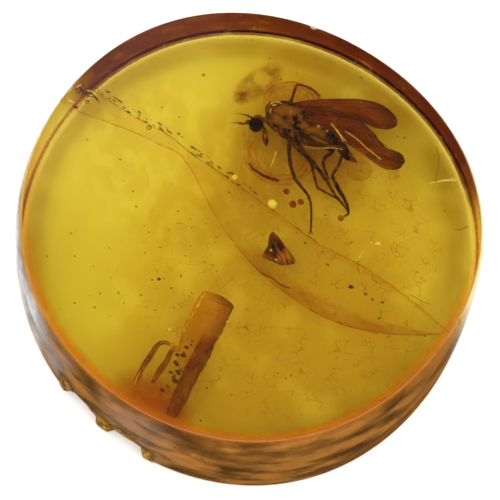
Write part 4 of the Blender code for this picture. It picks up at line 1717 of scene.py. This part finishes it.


# What the resin itself shows, with painted highlight lines and bubbles


@dataclass
class FlowMarks:
    """Where one flow of resin met the next, and the stress marks round the fly."""

    upper: tuple = (
        (-8.75, 8.4, 2.9), (-8.01, 8.22, 2.9), (-6.05, 6.81, 2.9), (-4.25, 5.75, 2.9), (-3.1, 4.7, 2.9),
        (-0.95, 3.08, 2.9), (1.28, 1.29, 2.9), (3.6, -0.55, 2.9), (5.21, -1.46, 2.9), (6.75, -2.49, 2.9),
        (8.33, -3.8, 2.9), (10.24, -5.6, 2.9),
    )
    lower: tuple = (
        (-9.2, 7.87, 0.6), (-8.24, 7.45, 0.6), (-6.2, 6.63, 0.6), (-4.76, 5.87, 0.6), (-3.33, 4.93, 0.6),
        (-1.65, 1.43, 0.6), (-0.01, -0.99, 0.6), (1.79, -2.77, 0.6), (3.6, -4.02, 0.6), (5.22, -4.7, 0.6),
        (6.8, -5.05, 0.6), (8.6, -5.16, 0.6), (9.94, -5.11, 0.6),
    )

    # The dome over the thorax, the lens round the head and legs, and the ring under the wings
    dome: tuple = (
        (0.9, 7.55, 3.1), (1.08, 7.87, 3.1), (1.53, 8.56, 3.1), (2.03, 8.83, 3.1), (2.63, 8.87, 3.1),
        (3.27, 8.57, 3.1), (3.8, 8.27, 3.1), (4.0, 7.86, 3.1),
    )
    lens: tuple = (
        (-0.22, 6.2, 2.0), (-0.04, 5.31, 2.0), (0.31, 4.43, 2.0), (0.83, 3.85, 2.0), (1.46, 3.5, 2.0),
        (2.2, 3.09, 2.0),
    )
    inner_lens: tuple = ((0.06, 6.44, 2.0), (0.24, 5.43, 2.0), (0.64, 4.67, 2.0), (1.27, 4.09, 2.0))
    ring: tuple = ((5.38, 3.38, 2.9), (5.8, 3.15, 2.9), (6.23, 3.21, 2.9), (6.52, 3.56, 2.9), (6.37, 3.91, 2.9))
    crack: tuple = (
        (-9.22, 7.97, 4.3), (-9.1, 8.1, 4.3), (-9.0, 8.1, 4.3), (-8.68, 7.81, 4.3), (-8.36, 7.75, 4.3),
        (-8.05, 7.4, 4.3),
    )
    # Centre and half sizes
    droplets: tuple = (
        ((5.18, -2.92, 2.6), (0.16, 0.1, 0.09)), ((5.92, -3.32, 2.6), (0.11, 0.08, 0.08)),
        ((6.27, -3.63, 2.6), (0.08, 0.08, 0.07)), ((6.8, -3.8, 2.6), (0.1, 0.05, 0.05)),
        ((4.0, -1.67, 2.6), (0.06, 0.05, 0.05)), ((3.71, -0.93, 2.6), (0.05, 0.05, 0.05)),
        ((2.83, -0.41, 2.6), (0.06, 0.06, 0.05)), ((-4.96, -2.46, 2.6), (0.1, 0.09, 0.08)),
        ((-3.8, -2.29, 2.6), (0.05, 0.05, 0.05)), ((-4.34, -2.97, 2.6), (0.05, 0.05, 0.05)),
        ((-5.34, -2.61, 3.0), (0.07, 0.04, 0.04)),
    )
    red: tuple = (
        ((1.93, 2.5, 2.8), (0.18, 0.18, 0.16)), ((2.25, 1.73, 2.9), (0.2, 0.2, 0.17)),
        ((2.67, 1.86, 2.9), (0.17, 0.17, 0.14)),
    )
    # Painted highlights: pale balls that stand in for the bright bubbles.
    pale: tuple = (
        ((1.14, 1.71, 3.0), (0.26, 0.26, 0.2)), ((-0.81, 3.25, 3.02), (0.16, 0.16, 0.13)),
        ((6.7, -0.52, 2.8), (0.16, 0.12, 0.08)), ((6.33, -0.47, 2.8), (0.07, 0.06, 0.05)),
        ((-1.45, -4.95, 2.8), (0.07, 0.07, 0.06)), ((-1.62, -5.3, 2.8), (0.04, 0.04, 0.04)),
        ((-4.5, -5.35, 2.8), (0.08, 0.08, 0.06)), ((1.0, -0.82, 2.6), (0.05, 0.07, 0.05)),
        ((1.25, -1.36, 2.6), (0.07, 0.04, 0.05)),
    )

    def film(self, name: str, maker: Maker, finish: Film) -> None:
        """Hands over one film."""
        keep(maker.done(name, finish.make()), Slot.AMBER)

    def stain(self) -> None:
        """The deeper orange of the resin's middle and lower right, and round the fly."""

        def cover(x: float, y: float, out: float) -> float:
            """How much stain there is at a place."""
            across = ease(0.85 * (x + 6.5) - 0.5 * (y - 8.0), 2.0, 10.5) * (1 - 0.4 * ease(x + 0.3 * y, 5.5, 9.0))
            by_fly = 0.7 * math.exp(-((x - 2.3) ** 2 + (y - 5.3) ** 2) / 9)
            left = 0.3 * math.exp(-((x + 9.0) ** 2 + y**2) / 30)
            rim = 0.5 * ease(out, 0.86, 0.93) * ease(y, -5.0, 1.0)
            return min(1.0, across + by_fly + left + rim) * (1 - ease(out, 0.95, 1.0))

        maker = Maker()
        maker.disc((-0.1, 0.3, 0.4), (12.1, 12.1), cover)
        stain = Film("deep_stain", (0.885, 0.815, 0.66), (0.5, 0.3, 0.05), 0.0, 2.5, (0.0, 0.5), detail=1.0)
        self.film("deep_stain", maker, stain)

    def haze(self) -> None:
        """A faint haze near the back with clear blobs in it, at the upper left."""
        maker = Maker()
        maker.disc((-3.6, 4.6, 0.7), (7.2, 5.6), lambda x, y, out: 1 - ease(out, 0.55, 1.0), -30)
        haze = Film("haze", (0.975, 0.955, 0.88), (1, 1, 1), 0.0, 0.8, (0.6, 0.46), (1, 0.6, 1), 0.2, detail=1.0)
        self.film("haze", maker, haze)

    def flow(self) -> None:
        """The tinted layer between two flows."""
        count = 120
        first, second = (evenly(spline(edge, 8), count) for edge in (self.upper, self.lower))
        maker = Maker()
        maker.sheet(
            first,
            second,
            24,
            0.02,
            lambda along, over: 0.06 * grain((along * 9, over * 3, 0.0), 0.7),
            lambda along, over: (0.28 - 0.25 * ease(along, 0.35, 0.5))
            + 0.5 * (1 - ease(over, 0.0, 0.14))
            + 0.9 * ease(over, 0.66, 0.86) * ease(along, 0.42, 0.58),
        )
        finish = Film("flow_layer", (0.93, 0.8, 0.58), (0.5, 0.25, 0.04), 0.04, 0.7, (0.2, 0.62), (0.3, 1, 1), -0.7)
        self.film("flow_layer", maker, finish)

    def crackle(self) -> None:
        """Hair cracks just under the face, most of them at the lower right."""
        maker = Maker()
        maker.disc((1.3, -1.9, 4.5), (9.6, 9.4), lambda x, y, out: ease(x - y, -8.0, 5.0) * (1 - ease(out, 0.8, 1.0)))
        finish = Film(
            "crackle", (0.82, 0.69, 0.46), (0.25, 0.12, 0.02), 0.05, 0.6, (0.46, 0.64), pattern=Pattern.CRACKLE
        )
        self.film("crackle", maker, finish)

    def stress(self) -> None:
        """The smudge by the head, the dome, the lens round the legs, and the glow at the stalk's foot."""

        def smudge(x: float, y: float, out: float) -> float:
            """The brown smudge with a clear cell in it."""
            core = math.exp(-((x + 0.35) ** 2 + (y - 7.9) ** 2) / 0.1)
            cell = math.hypot((x - 0.84) / 0.48, (y - 9.04) / 0.48)
            body = 0.5 * (1 - ease(out, 0.55, 1.0)) * (0.25 + 0.75 * ease(cell, 0.75, 1.1))
            return min(1.0, core + body + 0.35 * math.exp(-(((x - 1.5) ** 2 + (y - 9.5) ** 2) / 0.2)))

        def domed(x: float, y: float, out: float) -> float:
            """The dome's growth lines, above the thorax only."""
            lines = 0.5 + 0.5 * math.sin(out * 34)
            return ease(y, 7.4, 8.0) * (0.45 + 0.35 * lines * ease(out, 0.4, 0.8)) * (1 - ease(out, 0.97, 1.0) * 0.8)

        def lensed(x: float, y: float, out: float) -> float:
            """The lens' lines, strongest below the legs."""
            lower = ease(-(y - 5.0) - 0.35 * (x - 1.6), -0.9, 0.6)
            lines = 0.5 + 0.5 * math.sin(out * 40 + math.sin(x * 4))
            return (1 - ease(out, 0.93, 1.0)) * (0.2 + 0.42 * lower * lines * ease(out, 0.45, 0.8))

        maker = Maker()
        maker.disc((0.62, 8.72, 3.2), (1.75, 0.95), smudge, 38, 40, 90)
        self.film("smudge", maker, Film("smudge", (0.62, 0.36, 0.09), (0.22, 0.09, 0.01), 0.04, 0.4, (0.15, 0.6)))
        maker = Maker()
        maker.disc((2.45, 7.65, 3.0), (1.62, 1.28), domed, -8, 60, 110)
        maker.disc((1.75, 4.95, 2.0), (2.05, 1.95), lensed, 0, 70, 120)
        maker.disc((3.9, 3.9, 1.9), (1.9, 1.5), lambda x, y, out: 0.3 * (1 - ease(out, 0.5, 1.0)), -20)
        maker.disc((5.9, 3.65, 2.9), (0.72, 0.58), lambda x, y, out: 0.1 + 0.35 * math.sin(out * 16) ** 2 * out, 10, 40)
        finish = Film("stress_marks", (0.84, 0.6, 0.34), (0.55, 0.22, 0.02), 0.1, 0.45, (0.2, 0.5))
        self.film("stress_marks", maker, finish)
        maker = Maker()
        maker.disc((-5.3, -9.0, 1.6), (2.7, 1.5), lambda x, y, out: 1 - ease(out, 0.15, 1.0), -36)
        self.film("foot_glow", maker, Film("foot_glow", (0.9, 0.58, 0.2), (0.8, 0.3, 0.01), 0.3, 0.7, (0.1, 0.5)))

    def lines(self, strand: Growth) -> None:
        """The thin outlines of the marks, the crack at the rim and the hairs, and the painted highlight lines."""
        brown = Strands()
        for edge, start, end in (
            (self.upper, 0.04, 0.03),
            (self.lower, 0.03, 0.04),
            (self.dome, 0.022, 0.022),
            (self.lens, 0.024, 0.014),
            (self.inner_lens, 0.016, 0.01),
            (self.ring, 0.018, 0.012),
        ):
            brown.add(edge, start, end)
        stain = Film("fine_line", (0.88, 0.7, 0.42), (0.22, 0.07, 0.01), 0.08, 0.6, (0.34, 0.6), masked=False)
        keep(brown.done("fine_lines", strand, stain.make()), Slot.AMBER)

        dark = Strands()
        shifted = [Vector(point) + Vector((0.1, -0.16, -0.1)) for point in self.crack]
        for points, start, end in (
            (self.crack, 0.05, 0.03),
            (shifted, 0.035, 0.02),
            (((0.38, -2.1, 2.6), (1.0, -2.42, 2.6), (1.45, -2.78, 2.6), (1.91, -2.99, 2.6)), 0.025, 0.035),
            (((10.8, 0.29, 3.0), (11.15, 0.26, 3.0), (11.56, 0.46, 3.0)), 0.012, 0.02),
            (((10.09, 4.96, 3.4), (10.19, 4.25, 3.4), (9.97, 3.31, 3.4), (9.75, 2.38, 3.4)), 0.012, 0.008),
            (((8.34, -3.48, 3.0), (8.8, -3.8, 3.0), (9.37, -4.05, 3.0)), 0.016, 0.008),
            (((-9.35, 7.41, 3.0), (-9.1, 7.3, 3.0)), 0.09, 0.06),
        ):
            dark.add(points, start, end)
        soot = Horn("dark_hair", (0.012, 0.004, 0.001), (0.12, 0.04, 0.006), 0.3, (0.5, 0.95))
        keep(dark.done("dark_hairs", strand, soot.make()), Slot.AMBER)

        # Painted highlights: pale lines along the crack, on the fly and on other edges that catch the light.
        lit = Strands()
        raised = [Vector(point) + Vector((0.05, 0.1, 0.12)) for point in self.crack]
        for points, start, end in (
            (raised[:3], 0.03, 0.04),
            (raised[3:], 0.04, 0.02),
            (((-9.66, 7.43, 4.3), (-9.5, 7.33, 4.3), (-9.33, 7.21, 4.3)), 0.05, 0.03),
            (((9.4, 2.63, 4.0), (10.11, 2.8, 4.0), (11.03, 2.88, 4.0)), 0.02, 0.1),
            (((1.44, 4.69, 3.2), (1.3, 4.25, 3.2), (1.14, 3.82, 3.2)), 0.04, 0.025),
            (((7.35, 1.84, 2.8), (7.28, 1.66, 2.8)), 0.03, 0.02),
            (((7.21, 1.5, 2.8), (7.12, 1.25, 2.8)), 0.025, 0.02),
            (((6.99, 0.97, 2.8), (6.92, 0.7, 2.8)), 0.02, 0.015),
            (((5.94, -0.87, 2.8), (5.8, -1.05, 2.8), (5.62, -1.32, 2.8)), 0.02, 0.05),
            (((5.25, 6.07, 2.66), (5.78, 5.69, 2.7), (6.34, 5.1, 2.74), (7.1, 4.38, 2.8)), 0.018, 0.03),
            (((4.51, 6.49, 2.8), (4.76, 6.14, 2.8), (5.02, 5.78, 2.8), (5.27, 5.43, 2.8)), 0.03, 0.018),
            (((-0.48, 6.4, 2.7), (-0.68, 6.28, 2.7), (-0.85, 6.22, 2.7)), 0.03, 0.02),
            (((1.81, 4.13, 2.9), (2.02, 3.9, 2.9), (2.12, 3.67, 2.9), (1.95, 3.49, 2.9)), 0.02, 0.02),
            Fly().thigh,
        ):
            lit.add(points, start, end)
        gold = Film("lit_line", (1.0, 0.95, 0.5), (1.0, 0.72, 0.16), 0.85, 0.25, (0.25, 0.5), masked=False)
        keep(lit.done("lit_lines", strand, gold.make()), Slot.AMBER)

    def specks(self) -> None:
        """Dark grains along the flow's upper edge, and fewer of them everywhere."""
        first = evenly(spline(self.upper, 8), 60)
        shifted = [point + Vector((0.28, 0.22, 0.1)) for point in first]
        maker = Maker()
        maker.sheet(first, shifted, 2, 0.02, None, lambda along, over: 1.0 if along < 0.45 else 0.0)
        dark = Horn("grit", (0.012, 0.004, 0.001), (0.14, 0.05, 0.008), 0.2, (0.5, 0.9)).make()
        tree = speck_tree()
        values = {"Density": 9.0, "Size": 0.045, "Seed": 3, "Stretch": (2.6, 0.7, 0.7)}
        keep(tree.grow("flow_specks", maker.bed("flow_specks"), dark, values), Slot.AMBER)
        maker = Maker()
        maker.disc((-0.1, 0.3, 3.0), (11.2, 11.2), lambda x, y, out: 1.0, 0, 8, 24)
        values = {"Density": 0.1, "Size": 0.036, "Seed": 5, "Stretch": (1.5, 0.8, 0.8)}
        keep(tree.grow("stray_specks", maker.bed("stray_specks"), dark, values), Slot.AMBER)
        maker = Maker()
        maker.disc((-5.6, -1.5, 3.0), (4.2, 3.6), lambda x, y, out: 1.0, 0, 6, 24)
        values = {"Density": 0.45, "Size": 0.036, "Seed": 9, "Stretch": (1.5, 0.8, 0.8)}
        keep(tree.grow("low_specks", maker.bed("low_specks"), dark, values), Slot.AMBER)

    def drops(self) -> None:
        """Dark and red droplets, and pale balls that are painted highlights for the bright bubbles."""
        dark = Chitin("dark_droplet", (0.06, 0.016, 0.002), (0.5, 0.17, 0.015), 0.15)
        red = Film("red_droplet", (0.66, 0.32, 0.08), (0.4, 0.13, 0.005), 0.25, 0.2, (0.1, 0.5), masked=False)
        # Painted highlight: pale yellow balls for the bright bubbles.
        pale = Film("painted_bubble_glint", (1.0, 0.9, 0.5), (1.0, 0.9, 0.2), 0.9, 0.3, (0.0, 0.4), masked=False)
        for name, balls, finish in (
            ("dark_droplets", self.droplets, dark),
            ("red_droplets", self.red, red),
            ("painted_bubble_glints", self.pale, pale),
        ):
            maker = Maker()
            for centre, half in balls:
                maker.ball(centre, half, 3, lambda way: 0.08 * grain(way, 0.8))
            keep(maker.done(name, finish.make()), Slot.AMBER)

    def dress(self, strand: Growth) -> None:
        """Makes the marks."""
        self.stain()
        self.haze()
        self.flow()
        self.crackle()
        self.stress()
        self.lines(strand)
        self.specks()
        self.drops()


# The studio


@dataclass
class Studio:
    """The camera, a pale floor and soft light."""

    azimuth: float = -13.0
    elevation: float = 67.0
    place: Place = (-14.2517, -62.0727, 151.5124)
    lens: float = 219.43
    sensor: float = 36.0
    floor_gap: float = 0.1
    floor_size: float = 2.0
    horizon: float = 0.65
    zenith: float = 2.55
    # The dark card's edge and core in degrees from its middle, and the share of light that it leaves
    card_edge: float = 24.0
    card_core: float = 11.0
    card: float = 0.04
    # The veil of light: where it lies by the picture's slope to the left and up, its size and its strength
    veil_left: float = 0.0722
    veil_up: float = 0.0689
    veil_edge: float = 4.2
    veil_core: float = 1.0
    veil: float = 0.5

    def axes(self) -> tuple[Vector, Vector, Vector]:
        """The picture's right and up, and the way back to the camera."""
        turn, rise = math.radians(self.azimuth), math.radians(self.elevation)
        back = Vector((math.sin(turn) * math.cos(rise), -math.cos(turn) * math.cos(rise), math.sin(rise)))
        right = (Vector((1, 0, 0)) - back * back.x).normalized()
        return right, back.cross(right), back

    def camera(self) -> None:
        """Sets the camera at the portrait's viewing angle."""
        data = bpy.data.cameras.new("camera")
        data.lens, data.sensor_width, data.clip_start = self.lens, self.sensor, MM
        made = bpy.data.objects.new("camera", data)
        bpy.context.scene.collection.objects.link(made)
        turned = Matrix(self.axes()).transposed().to_4x4()
        made.matrix_world = Matrix.Translation(Vector(self.place) * MM) @ turned
        bpy.context.scene.camera = made

    def floor(self) -> None:
        """Lays the floor just below the slab."""
        half = self.floor_size / 2
        mesh = bpy.data.meshes.new("floor")
        corners = [(x * half, y * half, -self.floor_gap * MM) for x, y in ((-1, -1), (1, -1), (1, 1), (-1, 1))]
        mesh.from_pydata(corners, [], [(0, 1, 2, 3)])
        mesh.materials.append(Matt("pale_floor").make())
        made = bpy.data.objects.new("floor", mesh)
        bpy.context.scene.collection.objects.link(made)

    def light(self) -> None:
        """A pale sky, brighter overhead, with a dark card where the polished face would mirror it.

        The card stops short of the upper left, where the face takes a soft veil of light.
        """
        right, up, back = self.axes()
        corner = up * self.veil_up - right * self.veil_left - back
        world = bpy.data.worlds.new("studio")
        world.use_nodes = True
        bpy.context.scene.world = world
        graph = Shader(world.node_tree)
        way = graph.node("ShaderNodeTexCoord", out="Generated")
        height = graph.node("ShaderNodeSeparateXYZ", {0: way}, out="Z")
        sky = graph.between(height, 0.0, 0.8, self.horizon, self.zenith)
        near_card, near_veil = (
            graph.node(
                "ShaderNodeVectorMath",
                {0: way, 1: (seen.x, seen.y, -seen.z)},
                out="Value",
                operation="DOT_PRODUCT",
            )
            for seen in (-back, corner.normalized())
        )
        card = graph.between(near_card, self.spread(self.card_edge), self.spread(self.card_core), 1.0, self.card)
        veil = graph.between(near_veil, self.spread(self.veil_edge), self.spread(self.veil_core), 0.0, self.veil)
        strength = graph.maths("ADD", graph.maths("MULTIPLY", sky, card), veil)
        surface = world.node_tree.nodes.get("Background")
        surface.inputs["Color"].default_value = (1.0, 1.0, 1.0, 1.0)
        world.node_tree.links.new(strength, surface.inputs["Strength"])

    @staticmethod
    def spread(degrees: float) -> float:
        """The cosine of an angle in degrees."""
        return math.cos(math.radians(degrees))

    def dress(self) -> None:
        """Sets up the studio."""
        self.camera()
        self.floor()
        self.light()
        scene = bpy.context.scene
        scene.view_settings.view_transform = "Standard"
        scene.cycles.max_bounces = 10
        scene.cycles.diffuse_bounces = 3
        scene.cycles.transmission_bounces = 10
        scene.cycles.transparent_max_bounces = 24


def main() -> None:
    """Makes every piece, in order."""
    logging.basicConfig(level=logging.INFO, format="%(name)s: %(message)s")
    Studio().dress()
    AmberSlab().dress()
    strand = strand_tree()
    body = Fly().dress(strand)
    legs = Legs().dress()
    Bristles().dress(body, legs)
    Wings().dress(strand)
    BudScale().dress()
    PlantStalk().dress(strand)
    FlowMarks().dress(strand)


if __name__ == "__main__":
    main()
